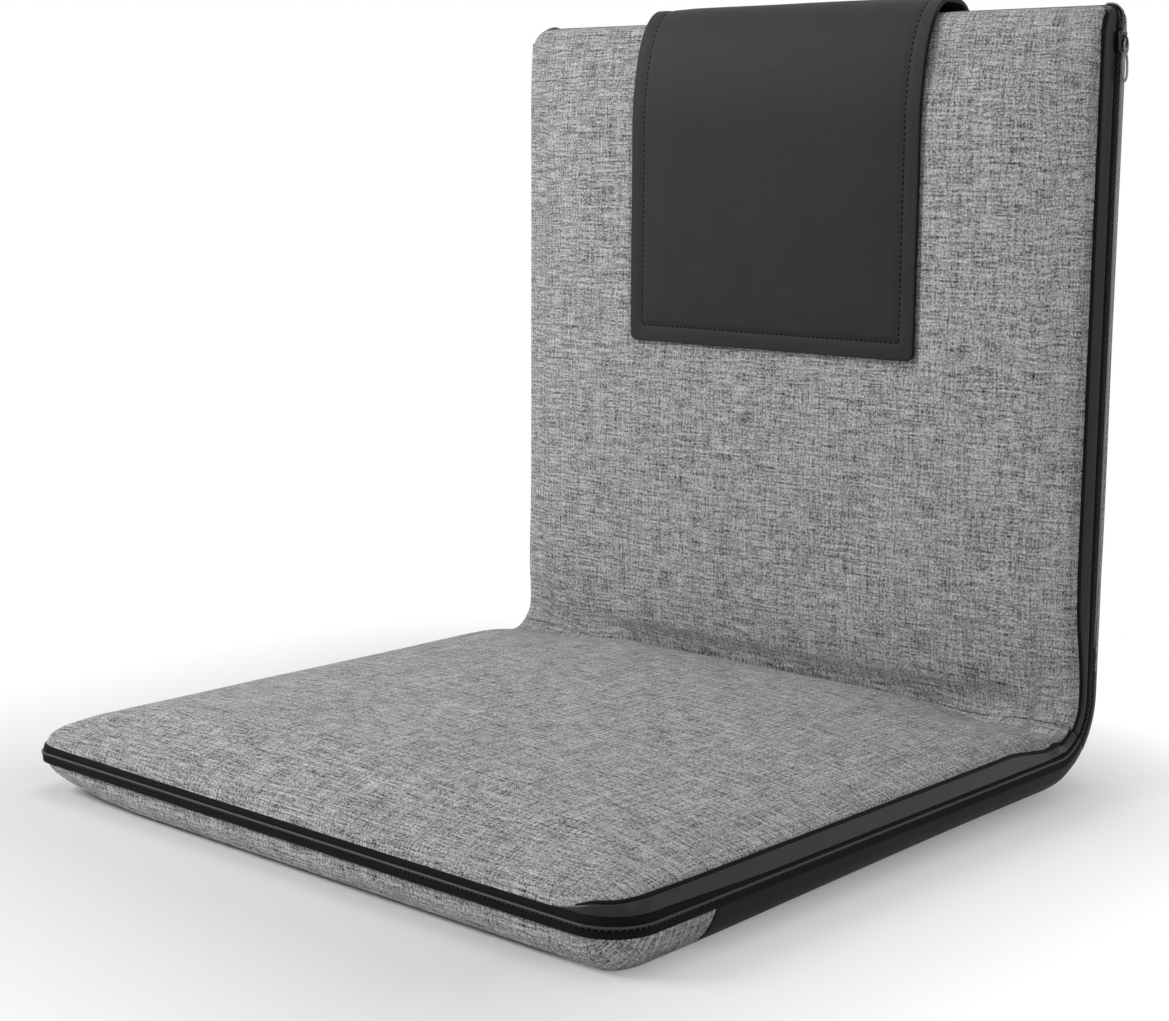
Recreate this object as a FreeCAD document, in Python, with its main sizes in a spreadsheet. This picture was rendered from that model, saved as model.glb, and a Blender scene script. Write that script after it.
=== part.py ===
import FreeCAD, Part
import math
import os
import Sketcher
from FreeCAD import Placement, Rotation, Vector

# Folding floor chair: a padded seat and a padded back, hinged at both sides of a soft bend.
# Row frame: +Z up, the sitter faces -Y, the origin lies on the floor under the middle of the seat.
# Each half is drawn in one half frame: the bend corner at the origin, the half reaching along -Y,
# the sitter's side up, the zip line at height 0. The back is the same half turned over onto +Z.

doc = FreeCAD.newDocument("floor_chair")
sheet = doc.addObject("Spreadsheet::Sheet", "Dimensions")

DRIVING = [
    ("seat_width", 429, "width over the fabric sides"),
    ("seat_length", 394, "front edge to the bend corner, along the zip"),
    ("back_height", 408, "bend corner to the top edge, along the zip"),
    ("shell_depth", 22, "zip line to the outer side of the base and of the rear cover"),
    ("seat_corner", 18, "radius of the seat's front corners, seen from above"),
    ("back_corner", 10, "radius of the back's top corners, seen from the front"),
    ("bend_radius", 30, "radius of the zip line round the bend"),
    ("shoulder_height", 20, "height of the pads near their long edges"),
    ("shoulder_run", 27, "width of the rounded long edge of a pad"),
    ("crease_height", 20, "height of both pads where they meet"),
    ("seat_crown", 28, "height of the seat pad in the middle"),
    ("back_crown", 25, "height of the back pad in the middle"),
    ("wall_height", 12, "upright part of a pad's side, under the boxing band"),
    ("edge_height", 5, "half of the thickness of a free edge"),
    ("rise_run", 62, "length over which a free edge rises to the full pad"),
    ("lower_run", 16, "length over which the lower shell reaches its depth"),
    ("cover_wall", 1.5, "thickness of fabric and faux leather with its backing"),
    ("layer_gap", 0.3, "clearance between soft layers"),
    ("front_fabric", 68, "fabric part of the lower shell, from the front edge"),
    ("rear_base_reach", 44, "base panel up the rear, from the bend corner"),
    ("band_height", 11.5, "height of the glossy boxing band"),
    ("band_offset", 2.2, "zip line to the lower edge of the boxing band"),
    ("trim_wall", 1.2, "thickness of bands and zip tapes"),
    ("tape_height", 4.5, "width of a zip tape in view"),
    ("tape_gap", 0.9, "half of the gap that the teeth fill"),
    ("coil_reach", 2.0, "how far the zip teeth stand off the cover"),
    ("coil_half", 0.8, "half of the height of the zip teeth"),
    ("tube_radius", 7, "outer radius of the frame tube"),
    ("tube_wall", 1.5, "wall of the frame tube"),
    ("tube_inset", 34, "side of a half to the centre of the frame tube"),
    ("frame_inset", 45, "free edge to the centre of the frame's cross run"),
    ("frame_bend", 45, "bend radius of the frame tube"),
    ("tube_start", 62, "bend corner to the open end of the frame tube"),
    ("cross_radius", 6, "outer radius of the cross tube"),
    ("cross_place", 86, "bend corner to the cross tube"),
    ("plug_depth", 12, "depth of an end plug in the tube"),
    ("plug_head", 2.5, "thickness of the head of an end plug"),
    ("panel_wall", 3, "thickness of the support panel"),
    ("pivot_place", 42, "bend corner to each hinge pivot"),
    ("leaf_wall", 3, "thickness of a hinge leaf"),
    ("leaf_tail", 112, "bend corner to the tail of a hinge leaf"),
    ("leaf_nose", 26, "bend corner to the nose of a hinge leaf"),
    ("leaf_top", 9.5, "zip line to the inner edge of a hinge leaf"),
    ("leaf_drop", 14.5, "zip line to the outer edge of a hinge leaf"),
    ("leaf_round", 6, "corner radius of a hinge leaf"),
    ("link_wall", 3, "thickness of the curved link"),
    ("link_half", 8, "half of the width of the curved link"),
    ("pivot_radius", 3, "radius of a pivot rivet's shank"),
    ("pivot_head", 6, "radius of a pivot rivet's head"),
    ("head_thick", 2, "thickness of a rivet's head"),
    ("running_gap", 0.05, "radial clearance of a pivot rivet in its link"),
    ("side_gap", 0.3, "clearance beside moving hinge parts"),
    ("washer_thick", 0.8, "thickness of a pivot washer"),
    ("stop_radius", 2.5, "radius of a stop pin"),
    ("stop_place", 31, "bend corner to a stop pin"),
    ("fix_radius", 2.4, "radius of the rivets that hold a leaf on its tube"),
    ("fix_first", 75, "bend corner to the first leaf rivet"),
    ("fix_pitch", 26, "spacing of the two leaf rivets"),
    ("slot_margin", 2.4, "room beside a link in the padding"),
    ("handle_width", 214, "width of the leather saddle"),
    ("handle_front", 195, "top edge to the lower edge of the saddle in front"),
    ("handle_rear", 198, "top edge to the lower edge of the saddle behind"),
    ("handle_wall", 2.6, "thickness of the saddle's folded leather"),
    ("handle_gap", 7, "finger gap over the top edge"),
    ("handle_rise", 70, "length over which the saddle rises from the top to the pad"),
    ("handle_round", 13, "radius of the saddle's bend behind"),
    ("pocket_width", 280, "width of the rear pocket"),
    ("pocket_depth", 144, "height of the rear pocket"),
    ("pocket_mouth", 192, "bend corner to the mouth of the pocket"),
    ("pocket_room", 5, "inner depth of the pocket"),
    ("pocket_seam", 6, "width of the sewn edge of the pocket"),
    ("slider_length", 12, "length of the zip slider"),
    ("slider_width", 8, "width of the zip slider"),
    ("slider_wall", 1.2, "thickness of the zip slider's plate"),
    ("slider_top", 9, "upper end of the straight zip to the middle of the slider at rest"),
    ("slider_gap", 0.35, "clearance of the slider round the teeth"),
    ("ear_height", 2.6, "height of the slider's two ears"),
    ("pull_length", 25, "length of the pull tab"),
    ("pull_width", 6.4, "width of the pull tab"),
    ("pull_wall", 1.2, "thickness of the pull tab"),
    ("pull_pin", 0.75, "radius of the pin on the pull tab"),
]
for row, (alias, value, meaning) in enumerate(DRIVING, start=1):
    sheet.set(f"A{row}", meaning)
    sheet.set(f"B{row}", str(value))
    sheet.setAlias(f"B{row}", alias)
doc.recompute()


def dim(alias):
    """The value of one driving dimension."""
    return float(sheet.get(alias))


HALF_WIDTH = dim("seat_width") / 2
BEND = dim("bend_radius")
PIVOT = dim("pivot_place")
TUBE_X = HALF_WIDTH - dim("tube_inset")
LEAF_X = TUBE_X + dim("tube_radius")
WASHER_X = LEAF_X + dim("leaf_wall")
LINK_X = WASHER_X + dim("washer_thick") + dim("side_gap")
HEAD_X = LINK_X + dim("link_wall") + dim("side_gap")
SLOT_X = LEAF_X - dim("head_thick") - dim("slot_margin")
SLOT_END = HEAD_X + dim("head_thick") + dim("slot_margin")
BIG = 1000.0
AXIS_X = Vector(1, 0, 0)

# Shares that give the soft forms their roundness.
ARC_ACROSS = 0.29
ARC_ALONG = 0.71
EDGE_SHOULDER = 0.9
SHOULDER_REST = 0.98
EDGE_LEAN = 0.3
PAD_LEAN = 0.7
SHELL_LEAN = 0.6
SHELL_WALL = 0.25
MIDDLE_PLACES = (0.3, 0.65, 1.0)
RISE_STEPS = 7
SHELL_STEPS = 6
BEYOND_BEND = 10
STRAIGHT = 0.9

# Small sizes of the trim, in millimetres.
BAND_CLEAR = 0.2
CORNER_REACH = 6
BAND_LATE = 0.5
STOP_STAND = 0.6
STOP_BEFORE = 1.5
STOP_AFTER = 2
EAR_WALL = 1.2
EAR_SINK = 0.2
PIN_CLEAR = 0.05
WASHER_EDGE = 1
FIX_HEAD = 1.8
NEAR = 0.1
SLIDER_CORNER = 0.6
STEM_REACH = 0.35
TAB_START = 0.3
TAB_CORNER = 0.7
OVAL_START = 0.45
OVAL_END = 0.15
OVAL_HALF = 0.4
OVAL_CORNER = 0.39
SEAT = {"name": "seat", "length": "seat_length", "crown": "seat_crown", "corner": "seat_corner"}
BACK = {"name": "back", "length": "back_height", "crown": "back_crown", "corner": "back_corner"}
sub_parts = []


def half_placement(half):
    """Where a half's frame stands: the seat lies, the back is turned over onto +Z."""
    corner = Vector(0, dim("seat_length") / 2, dim("shell_depth"))
    if half is SEAT:
        return Placement(corner, Rotation())
    return Placement(corner, Rotation(Vector(0, -1, 1), 180))


def keep(thing, label, half):
    """Name a finished sub-part and set it in its place."""
    thing.Label = label
    thing.Placement = half_placement(half)
    if half is SEAT:
        thing.setExpression("Placement.Base.y", "Dimensions.seat_length / 2")
        thing.setExpression("Placement.Base.z", "Dimensions.shell_depth")
    sub_parts.append(thing)
    return thing


def feature(label, half, shape):
    """A sub-part whose free form is worked out here."""
    thing = doc.addObject("Part::Feature", label)
    thing.Shape = shape
    return keep(thing, label, half)


def box(x0, x1, y0, y1, z0, z1):
    return Part.makeBox(x1 - x0, y1 - y0, z1 - z0, Vector(x0, y0, z0))


def both_sides(shape):
    """The shape and its mirror image on the other side, as one group."""
    return Part.makeCompound([shape, shape.mirror(Vector(0, 0, 0), AXIS_X)])


def swell(distance, run):
    """A quarter ellipse from 0 at an edge to 1 at the end of its run."""
    left = 1 - min(max(distance, 0.0), run) / run
    return math.sqrt(1 - left * left)


def beyond_crease():
    """Everything on the other half's side of the plane that parts the halves."""
    block = box(-BIG, BIG, -BIG, BIG, 0, BIG)
    block.rotate(Vector(0, 0, 0), AXIS_X, -45)
    block.translate(Vector(0, -dim("layer_gap") / 2, -dim("layer_gap") / 2))
    return block


def link_slots():
    """Room for the links to swing through the padding, at both sides."""
    reach = PIVOT + dim("link_half") + dim("slot_margin")
    slot = box(SLOT_X, SLOT_END, -reach, BIG, -dim("link_half") - dim("slot_margin"), BIG)
    return both_sides(slot)


def leaf_slots():
    """Room for the leaves, the stop pins and the rivet heads, at both sides."""
    low = -dim("leaf_drop") - dim("slot_margin")
    tail = -dim("leaf_tail") - dim("slot_margin")
    return both_sides(box(SLOT_X, SLOT_END, tail, BIG, low, dim("leaf_top") + dim("side_gap")))


def stations(half):
    """Distances from the free edge at which a pad's section is drawn."""
    length = dim(half["length"])
    run = dim("rise_run")
    turns = [math.pi / 2 * step / RISE_STEPS for step in range(RISE_STEPS + 1)]
    edge = [run * (1 - math.cos(turn)) for turn in turns]
    middle = [run + (length - 2 * run) * part for part in MIDDLE_PLACES]
    return edge + middle + [length + BEYOND_BEND]


def plan_half_width(half, distance):
    """Half width of a half at a distance from its free edge, with its round corner."""
    corner = dim(half["corner"])
    return HALF_WIDTH - corner * (1 - swell(distance, corner))


def pad_loft(half, inward):
    """The crowned upper form of a half, drawn in by a distance on all sides but its floor."""
    length = dim(half["length"])
    edge = dim("edge_height")
    run = dim("rise_run")
    sections = []
    for distance in stations(half):
        rise = swell(distance, run)
        fall = swell(length - distance - dim("crease_height"), length / 3)
        crown = dim("crease_height") + (dim(half["crown"]) - dim("crease_height")) * fall
        wall = edge / 2 + (dim("wall_height") - edge / 2) * rise - inward
        low = edge * EDGE_SHOULDER
        shoulder = low + (dim("shoulder_height") * SHOULDER_REST - low) * rise - inward
        top = edge + (crown - edge) * rise - inward
        side = plan_half_width(half, distance) - inward
        lean = dim("shoulder_run") * (EDGE_LEAN + PAD_LEAN * rise)
        sections.append(pad_section(inward - length + distance, side, wall, shoulder, top, lean, -inward))
    return Part.makeLoft(sections, True, True)


def pad_section(place, side, wall, shoulder, top, lean, floor):
    """One closed section of a pad, square to its length."""
    corner = Vector(side, place, floor)
    upright = Vector(side, place, wall)
    bulge = Vector(side - ARC_ACROSS * lean, place, wall + ARC_ALONG * (shoulder - wall))
    inner = Vector(side - lean, place, shoulder)
    crest = Vector(0, place, top)

    def other(point):
        return Vector(-point.x, point.y, point.z)

    edges = [
        Part.LineSegment(other(corner), corner).toShape(),
        Part.LineSegment(corner, upright).toShape(),
        Part.Arc(upright, bulge, inner).toShape(),
        Part.Arc(inner, crest, other(inner)).toShape(),
        Part.Arc(other(inner), other(bulge), other(upright)).toShape(),
        Part.LineSegment(other(upright), other(corner)).toShape(),
    ]
    return Part.Wire(edges)


def pad_body(half, inward):
    """A pad's upper form, ended at the crease and along the zip line round the bend."""
    solid = pad_loft(half, inward)
    outside = box(-BIG, BIG, -BEND, BIG, -BIG, BIG)
    inside = Part.makeCylinder(BEND - dim("layer_gap"), 2 * BIG, Vector(-BIG, -BEND, BEND), AXIS_X)
    return solid.cut(outside.cut(inside)).cut(beyond_crease())


def shell_section(place, side, depth, lean, top=0.0):
    """One closed section of the lower shell, square to its length."""
    wall = -SHELL_WALL * depth
    corner = Vector(side, place, top)
    upright = Vector(side, place, wall)
    bulge = Vector(side - ARC_ACROSS * lean, place, wall - ARC_ALONG * (depth + wall))
    inner = Vector(side - lean, place, -depth)

    def other(point):
        return Vector(-point.x, point.y, point.z)

    edges = [
        Part.LineSegment(corner, upright).toShape(),
        Part.Arc(upright, bulge, inner).toShape(),
        Part.LineSegment(inner, other(inner)).toShape(),
        Part.Arc(other(inner), other(bulge), other(upright)).toShape(),
        Part.LineSegment(other(upright), other(corner)).toShape(),
        Part.LineSegment(other(corner), corner).toShape(),
    ]
    return Part.Wire(edges)


def shell_end(half, inward):
    """The lower form near the free edge, where it rises to the zip line."""
    length = dim(half["length"])
    run = dim("lower_run")
    edge = dim("edge_height")
    sections = []
    for step in range(SHELL_STEPS + 1):
        distance = run * (1 - math.cos(math.pi / 2 * step / SHELL_STEPS))
        rise = swell(distance, run)
        depth = edge + (dim("shell_depth") - edge) * rise - inward
        side = plan_half_width(half, distance) - inward
        lean = dim("shoulder_run") * (EDGE_LEAN + SHELL_LEAN * rise)
        sections.append(shell_section(inward - length + distance, side, depth, lean))
    return Part.makeLoft(sections, True, True)


def shell_straight(inward, y0, y1):
    """The lower form between two places along a half."""
    lean = dim("shoulder_run") * (EDGE_LEAN + SHELL_LEAN)
    side = HALF_WIDTH - inward
    wire = shell_section(y0, side, dim("shell_depth") - inward, lean)
    return Part.Face(wire).extrude(Vector(0, y1 - y0, 0))


def round_bend(wire_or_face):
    """Turn a section that stands at the start of the bend as far as the crease plane."""
    face = wire_or_face
    if face.ShapeType == "Wire":
        face = Part.Face(face)
    trim = math.degrees(math.asin(dim("layer_gap") / 2 / BEND))
    return face.revolve(Vector(0, -BEND, BEND), AXIS_X, 45 - trim)


def shell_bend(inward):
    """The lower form round its half of the bend."""
    lean = dim("shoulder_run") * (EDGE_LEAN + SHELL_LEAN)
    side = HALF_WIDTH - inward
    return round_bend(shell_section(-BEND, side, dim("shell_depth") - inward, lean))


def lower_covers(half, seam, end_label, base_label):
    """The lower shell as two skins that meet at a seam: fabric at the end, base at the bend."""
    wall = dim("cover_wall")
    length = dim(half["length"])
    end = -length + dim("lower_run")
    outer = shell_end(half, 0).fuse(shell_straight(0, end, seam))
    inner = shell_end(half, wall).fuse(shell_straight(wall, end + wall, seam + wall))
    feature(end_label, half, outer.cut(inner).removeSplitter())
    outer = shell_straight(0, seam, -BEND).fuse(shell_bend(0))
    inner = shell_straight(wall, seam - wall, -BEND).fuse(shell_bend(wall))
    feature(base_label, half, outer.cut(inner).removeSplitter())


def top_cover(half, label):
    """The crowned fabric of a half, open along the zip line and at the crease."""
    outer = pad_body(half, 0)
    inner = pad_loft(half, dim("cover_wall"))
    feature(label, half, outer.cut(inner).cut(link_slots()))


def pad_layers(half):
    """The soft layers inside a half, from the crown to the base."""
    name = half["name"]
    length = dim(half["length"])
    gap = dim("layer_gap")
    panel_top = dim("tube_radius") + gap + dim("panel_wall")
    inward = dim("cover_wall") + gap
    below = box(-BIG, BIG, -BIG, BIG, -BIG, panel_top + gap)
    cushion = pad_body(half, inward).cut(below).cut(link_slots())
    feature(f"{name}_cushion_foam", half, cushion)

    inset = TUBE_X - dim("tube_radius") - gap
    far = -(length - dim("frame_inset")) + dim("tube_radius") + gap
    near = -dim("cross_place") - dim("cross_radius") - gap
    core = box(-inset, inset, far, near, -dim("tube_radius"), dim("tube_radius"))
    corner = dim("frame_bend") - dim("tube_radius") - gap
    sharp = [edge for edge in core.Edges if abs(edge.tangentAt(0).z) > STRAIGHT and edge.CenterOfMass.y < far + 1]
    feature(f"{name}_core_foam", half, core.makeFillet(corner, sharp))

    start = -dim("cross_place") + dim("cross_radius") + gap
    block = box(-inset, inset, start, BIG, -dim("tube_radius"), panel_top)
    ring = Part.makeCylinder(BEND + dim("tube_radius"), 2 * BIG, Vector(-BIG, -BEND, BEND), AXIS_X)
    before = box(-BIG, BIG, -BIG, -BEND, -BIG, BIG)
    board = box(-BIG, BIG, -BIG, -dim("tube_start") - dim("plug_head") + gap, dim("tube_radius"), BIG)
    bend = block.common(before.fuse(ring)).cut(board).cut(beyond_crease())
    feature(f"{name}_bend_foam", half, bend)

    ceiling = box(-BIG, BIG, -BIG, -BEND, -dim("tube_radius") - gap, BIG)
    rounder = Part.makeCylinder(BEND + dim("tube_radius") + gap, 2 * BIG, Vector(-BIG, -BEND, BEND), AXIS_X)
    thin = shell_end(half, inward)
    thin = thin.fuse(shell_straight(inward, -length + dim("lower_run") + inward, -BEND))
    thin = thin.fuse(shell_bend(inward)).cut(ceiling).cut(rounder).cut(leaf_slots())
    pad_label = {"seat": "seat_base_foam", "back": "back_rear_foam"}[name]
    feature(pad_label, half, thin)


def plan_face(half, grow):
    """The outline of a half seen square to it, grown by a distance."""
    length = dim(half["length"]) + grow
    side = HALF_WIDTH + grow
    face = box(-side, side, -length, -BEND, 0, 1)
    sharp = [edge for edge in face.Edges if abs(edge.tangentAt(0).z) > STRAIGHT and edge.CenterOfMass.y < -BEND - 1]
    return face.makeFillet(dim(half["corner"]) + grow, sharp)


def rim(half, inner, outer, low, high):
    """A strip that follows the side and free edges of a half."""
    strip = plan_face(half, outer).cut(plan_face(half, inner))
    stretch = FreeCAD.Matrix()
    stretch.scale(1, 1, high - low)
    strip = strip.transformGeometry(stretch)
    strip.translate(Vector(0, 0, low))
    return strip


def side_strip(half, inner, outer, low, high, start):
    """A strip along one side, from a distance behind the free edge to the crease."""
    x0 = HALF_WIDTH + inner
    x1 = HALF_WIDTH + outer
    straight = box(x0, x1, -dim(half["length"]) + start, -BEND, low, high)
    return straight.fuse(bend_strip(inner, outer, low, high)).removeSplitter()


def bend_strip(inner, outer, low, high):
    """The same strip's section carried round its half of the bend."""
    x0 = HALF_WIDTH + inner
    x1 = HALF_WIDTH + outer
    corners = [Vector(x0, -BEND, low), Vector(x1, -BEND, low), Vector(x1, -BEND, high), Vector(x0, -BEND, high)]
    return round_bend(Part.makePolygon(corners + corners[:1]))


def seat_trim():
    """Zip and boxing bands of the seat, round its front and both sides."""
    wall = dim("trim_wall")
    gap = dim("tape_gap")
    high = gap + dim("tape_height")
    low_side = dim("band_offset") - BAND_CLEAR
    behind = dim("seat_corner") + CORNER_REACH
    front = box(-BIG, BIG, -BIG, -dim("seat_length") + behind, -BIG, BIG)

    upper = rim(SEAT, 0, wall, gap, low_side)
    upper = upper.fuse(rim(SEAT, 0, wall, gap, high).common(front))
    upper = upper.fuse(both_sides(bend_strip(0, wall, gap, low_side)))
    feature("seat_zip_upper_tape", SEAT, upper.removeSplitter())
    lower = rim(SEAT, 0, wall, -high, -gap).fuse(both_sides(bend_strip(0, wall, -high, -gap)))
    feature("seat_zip_lower_tape", SEAT, lower.removeSplitter())
    half_coil = dim("coil_half")
    reach = dim("coil_reach")
    teeth = rim(SEAT, 0, reach, -half_coil, half_coil)
    teeth = teeth.fuse(both_sides(bend_strip(0, reach, -half_coil, half_coil)))
    feature("seat_zip_teeth", SEAT, teeth.removeSplitter())

    band_low = dim("band_offset")
    band = side_strip(SEAT, 0, wall, band_low, band_low + dim("band_height"), behind + BAND_LATE)
    feature("seat_band_left", SEAT, band)
    feature("seat_band_right", SEAT, band.mirror(Vector(0, 0, 0), AXIS_X))


def back_trim():
    """Zip and boxing bands of the back, up both sides to the top corners."""
    wall = dim("trim_wall")
    gap = dim("tape_gap")
    top = dim("back_corner")
    high = gap + dim("tape_height")
    front = side_strip(BACK, 0, wall, gap, dim("band_offset") - BAND_CLEAR, top)
    feature("back_zip_front_tape", BACK, both_sides(front))
    rear = side_strip(BACK, 0, wall, -high, -gap, top)
    feature("back_zip_rear_tape", BACK, both_sides(rear))
    half_coil = dim("coil_half")
    teeth = side_strip(BACK, 0, dim("coil_reach"), -half_coil, half_coil, top + STOP_AFTER)
    feature("back_zip_teeth", BACK, both_sides(teeth))
    length = dim("back_height")
    low = -length + top - STOP_BEFORE
    stop = box(HALF_WIDTH, HALF_WIDTH + dim("coil_reach") + STOP_STAND, low, -length + top + STOP_AFTER, -gap, gap)
    feature("zip_end_stops", BACK, both_sides(stop))
    band_low = dim("band_offset")
    band = side_strip(BACK, 0, wall, band_low, band_low + dim("band_height"), top)
    feature("back_band_right", BACK, band)
    feature("back_band_left", BACK, band.mirror(Vector(0, 0, 0), AXIS_X))


def sheet_names(formula):
    """Write the sheet's aliases in a formula in full."""
    names = sorted((alias for alias, _, _ in DRIVING), key=len, reverse=True)
    for number, alias in enumerate(names):
        formula = formula.replace(alias, f"@{number}@")
    for number, alias in enumerate(names):
        formula = formula.replace(f"@{number}@", f"Dimensions.{alias}")
    return formula


LEAF_FACE = "(seat_width / 2 - tube_inset + tube_radius)"
LINK_FACE = f"({LEAF_FACE} + leaf_wall + washer_thick + side_gap)"


def rod(name, radius, length, x, y, z, sign):
    """A round bar along X, with its end nearest the middle at x, bound to the sheet."""
    bar = doc.addObject("Part::Cylinder", name)
    bar.Placement = Placement(Vector(0, 0, 0), Rotation(Vector(0, 1, 0), 90 * sign))
    bar.setExpression("Radius", sheet_names(radius))
    bar.setExpression("Height", sheet_names(length))
    bar.setExpression("Placement.Base.x", sheet_names(f"{sign} * ({x})"))
    bar.setExpression("Placement.Base.y", sheet_names(y))
    bar.setExpression("Placement.Base.z", sheet_names(z))
    return bar


def fused(name, parts):
    thing = doc.addObject("Part::MultiFuse", name)
    thing.Shapes = parts
    return thing


def cut(name, base, tool):
    thing = doc.addObject("Part::Cut", name)
    thing.Base = base
    thing.Tool = tool
    return thing


def pivot_rivets(half):
    """A rivet through leaf and link at both sides."""
    name = half["name"]
    parts = []
    for sign in (1, -1):
        shank = "leaf_wall + washer_thick + 2 * side_gap + link_wall"
        parts.append(rod("shank", "pivot_radius", shank, LEAF_FACE, "-pivot_place", "0", sign))
        inner = f"{LEAF_FACE} - head_thick"
        parts.append(rod("inner_head", "pivot_head", "head_thick", inner, "-pivot_place", "0", sign))
        outer = f"{LINK_FACE} + link_wall + side_gap"
        parts.append(rod("outer_head", "pivot_head", "head_thick", outer, "-pivot_place", "0", sign))
    keep(fused(f"{name}_pivot_rivets", parts), f"{name}_pivot_rivets", half)


def pivot_washers(half):
    """A washer between leaf and link at both sides."""
    name = half["name"]
    rings = []
    for sign in (1, -1):
        face = f"{LEAF_FACE} + leaf_wall"
        disc = rod("washer", f"pivot_head + {WASHER_EDGE}", "washer_thick", face, "-pivot_place", "0", sign)
        hole = rod("washer_hole", "pivot_radius", "washer_thick", face, "-pivot_place", "0", sign)
        rings.append(cut("washer_ring", disc, hole))
    keep(fused(f"{name}_pivot_washers", rings), f"{name}_pivot_washers", half)


def stop_pins(half):
    """A pin in each leaf, on which the link's edge comes to rest when the chair is open."""
    name = half["name"]
    pins = []
    for sign in (1, -1):
        length = "leaf_wall + washer_thick + 2 * side_gap + link_wall"
        z = "-link_half - stop_radius - side_gap"
        pins.append(rod("stop", "stop_radius", length, LEAF_FACE, "-stop_place", z, sign))
    keep(fused(f"{name}_stop_pins", pins), f"{name}_stop_pins", half)


def leaf_rivets(half):
    """Two rivets that hold each leaf on its frame tube."""
    name = half["name"]
    rivets = []
    for sign in (1, -1):
        for place in ("-fix_first", "-fix_first - fix_pitch"):
            wall = "tube_wall + leaf_wall"
            rivets.append(rod("fix", "fix_radius", wall, f"{LEAF_FACE} - tube_wall", place, "0", sign))
            face = f"{LEAF_FACE} + leaf_wall"
            rivets.append(rod("fix_head", f"fix_radius * {FIX_HEAD}", "head_thick / 2", face, place, "0", sign))
    keep(fused(f"{name}_leaf_rivets", rivets), f"{name}_leaf_rivets", half)


def plane(body, role):
    """One of a body's own origin planes."""
    return next(item for item in body.Origin.OriginFeatures if item.Role == role)


def sketch_on(body, role, name, offset=None):
    """A sketch on one of a body's own origin planes, moved along its normal by a formula."""
    sketch = body.newObject("Sketcher::SketchObject", name)
    sketch.AttachmentSupport = [(plane(body, role), "")]
    sketch.MapMode = "FlatFace"
    if offset:
        sketch.setExpression("AttachmentOffset.Base.z", sheet_names(offset))
    return sketch


def fix(sketch, kind, *where, formula=None, name=None):
    """Add one constraint, and bind a size to the sheet if it has a formula."""
    if formula is None:
        sketch.addConstraint(Sketcher.Constraint(kind, *where))
        return
    guess = abs(sheet_value(formula))
    index = sketch.addConstraint(Sketcher.Constraint(kind, *where, guess))
    sketch.renameConstraint(index, name)
    sketch.setExpression(f"Constraints.{name}", sheet_names(formula))


def sheet_value(formula):
    """Work out a formula on the sheet, for a sketch's first shape."""
    full = sheet_names(formula)
    return float(sheet.evalExpression(full))


def draw_rectangle(sketch, y0, y1, z0, z1):
    """A rectangle by the formulas of its four sides in the sketch."""
    y_low, y_high, z_low, z_high = (sheet_value(item) for item in (y0, y1, z0, z1))
    corners = [Vector(y_low, z_low), Vector(y_high, z_low), Vector(y_high, z_high), Vector(y_low, z_high)]
    lines = [sketch.addGeometry(Part.LineSegment(corners[n], corners[(n + 1) % 4])) for n in range(4)]
    for n in range(4):
        fix(sketch, "Coincident", lines[n], 2, lines[(n + 1) % 4], 1)
    fix(sketch, "Horizontal", lines[0])
    fix(sketch, "Horizontal", lines[2])
    fix(sketch, "Vertical", lines[1])
    fix(sketch, "Vertical", lines[3])
    fix(sketch, "DistanceX", lines[0], 1, -1, 1, formula=f"-({y0})", name="tail")
    fix(sketch, "DistanceX", lines[0], 1, lines[0], 2, formula=f"({y1}) - ({y0})", name="length")
    fix(sketch, "DistanceY", lines[0], 1, -1, 1, formula=f"-({z0})", name="drop")
    fix(sketch, "DistanceY", lines[1], 1, lines[1], 2, formula=f"({z1}) - ({z0})", name="height")


def draw_circle(sketch, y, z, radius, name):
    """A circle whose centre lies at negative y; z is a formula, or 0."""
    centre = Vector(sheet_value(y), sheet_value(z))
    circle = sketch.addGeometry(Part.Circle(centre, Vector(0, 0, 1), sheet_value(radius)))
    fix(sketch, "Radius", circle, formula=radius, name=f"{name}_radius")
    fix(sketch, "DistanceX", circle, 3, -1, 1, formula=f"-({y})", name=f"{name}_place")
    if z == "0":
        fix(sketch, "PointOnObject", circle, 3, -1)
    else:
        fix(sketch, "DistanceY", circle, 3, -1, 1, formula=f"-({z})", name=f"{name}_drop")


def pad_out(body, sketch, length):
    """Thicken a sketch by a formula, along its normal."""
    pad = body.newObject("PartDesign::Pad", "Pad")
    pad.Profile = sketch
    pad.setExpression("Length", sheet_names(length))
    return pad


def hinge_leaf(half, side):
    """The steel leaf on one frame tube, with holes for its rivets, pivot and stop pin."""
    name = f"{half['name']}_hinge_leaf_{side}"
    outward = 1 if (side == "left") == (half is SEAT) else -1
    body = doc.addObject("PartDesign::Body", name)
    start = LEAF_FACE if outward > 0 else f"-{LEAF_FACE} - leaf_wall"
    sketch = sketch_on(body, "YZ_Plane", "outline", start)
    draw_rectangle(sketch, "-leaf_tail", "-leaf_nose", "-leaf_drop", "leaf_top")
    draw_circle(sketch, "-pivot_place", "0", "pivot_radius", "pivot")
    draw_circle(sketch, "-stop_place", "-link_half - stop_radius - side_gap", "stop_radius", "stop")
    draw_circle(sketch, "-fix_first", "0", "fix_radius", "first")
    draw_circle(sketch, "-fix_first - fix_pitch", "0", "fix_radius", "second")
    pad = pad_out(body, sketch, "leaf_wall")
    doc.recompute()
    sharp = [f"Edge{n}" for n, edge in enumerate(pad.Shape.Edges, start=1) if is_outer_corner(edge)]
    rounding = body.newObject("PartDesign::Fillet", "rounding")
    rounding.Base = (pad, sharp)
    rounding.setExpression("Radius", "Dimensions.leaf_round")
    keep(body, name, half)


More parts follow.
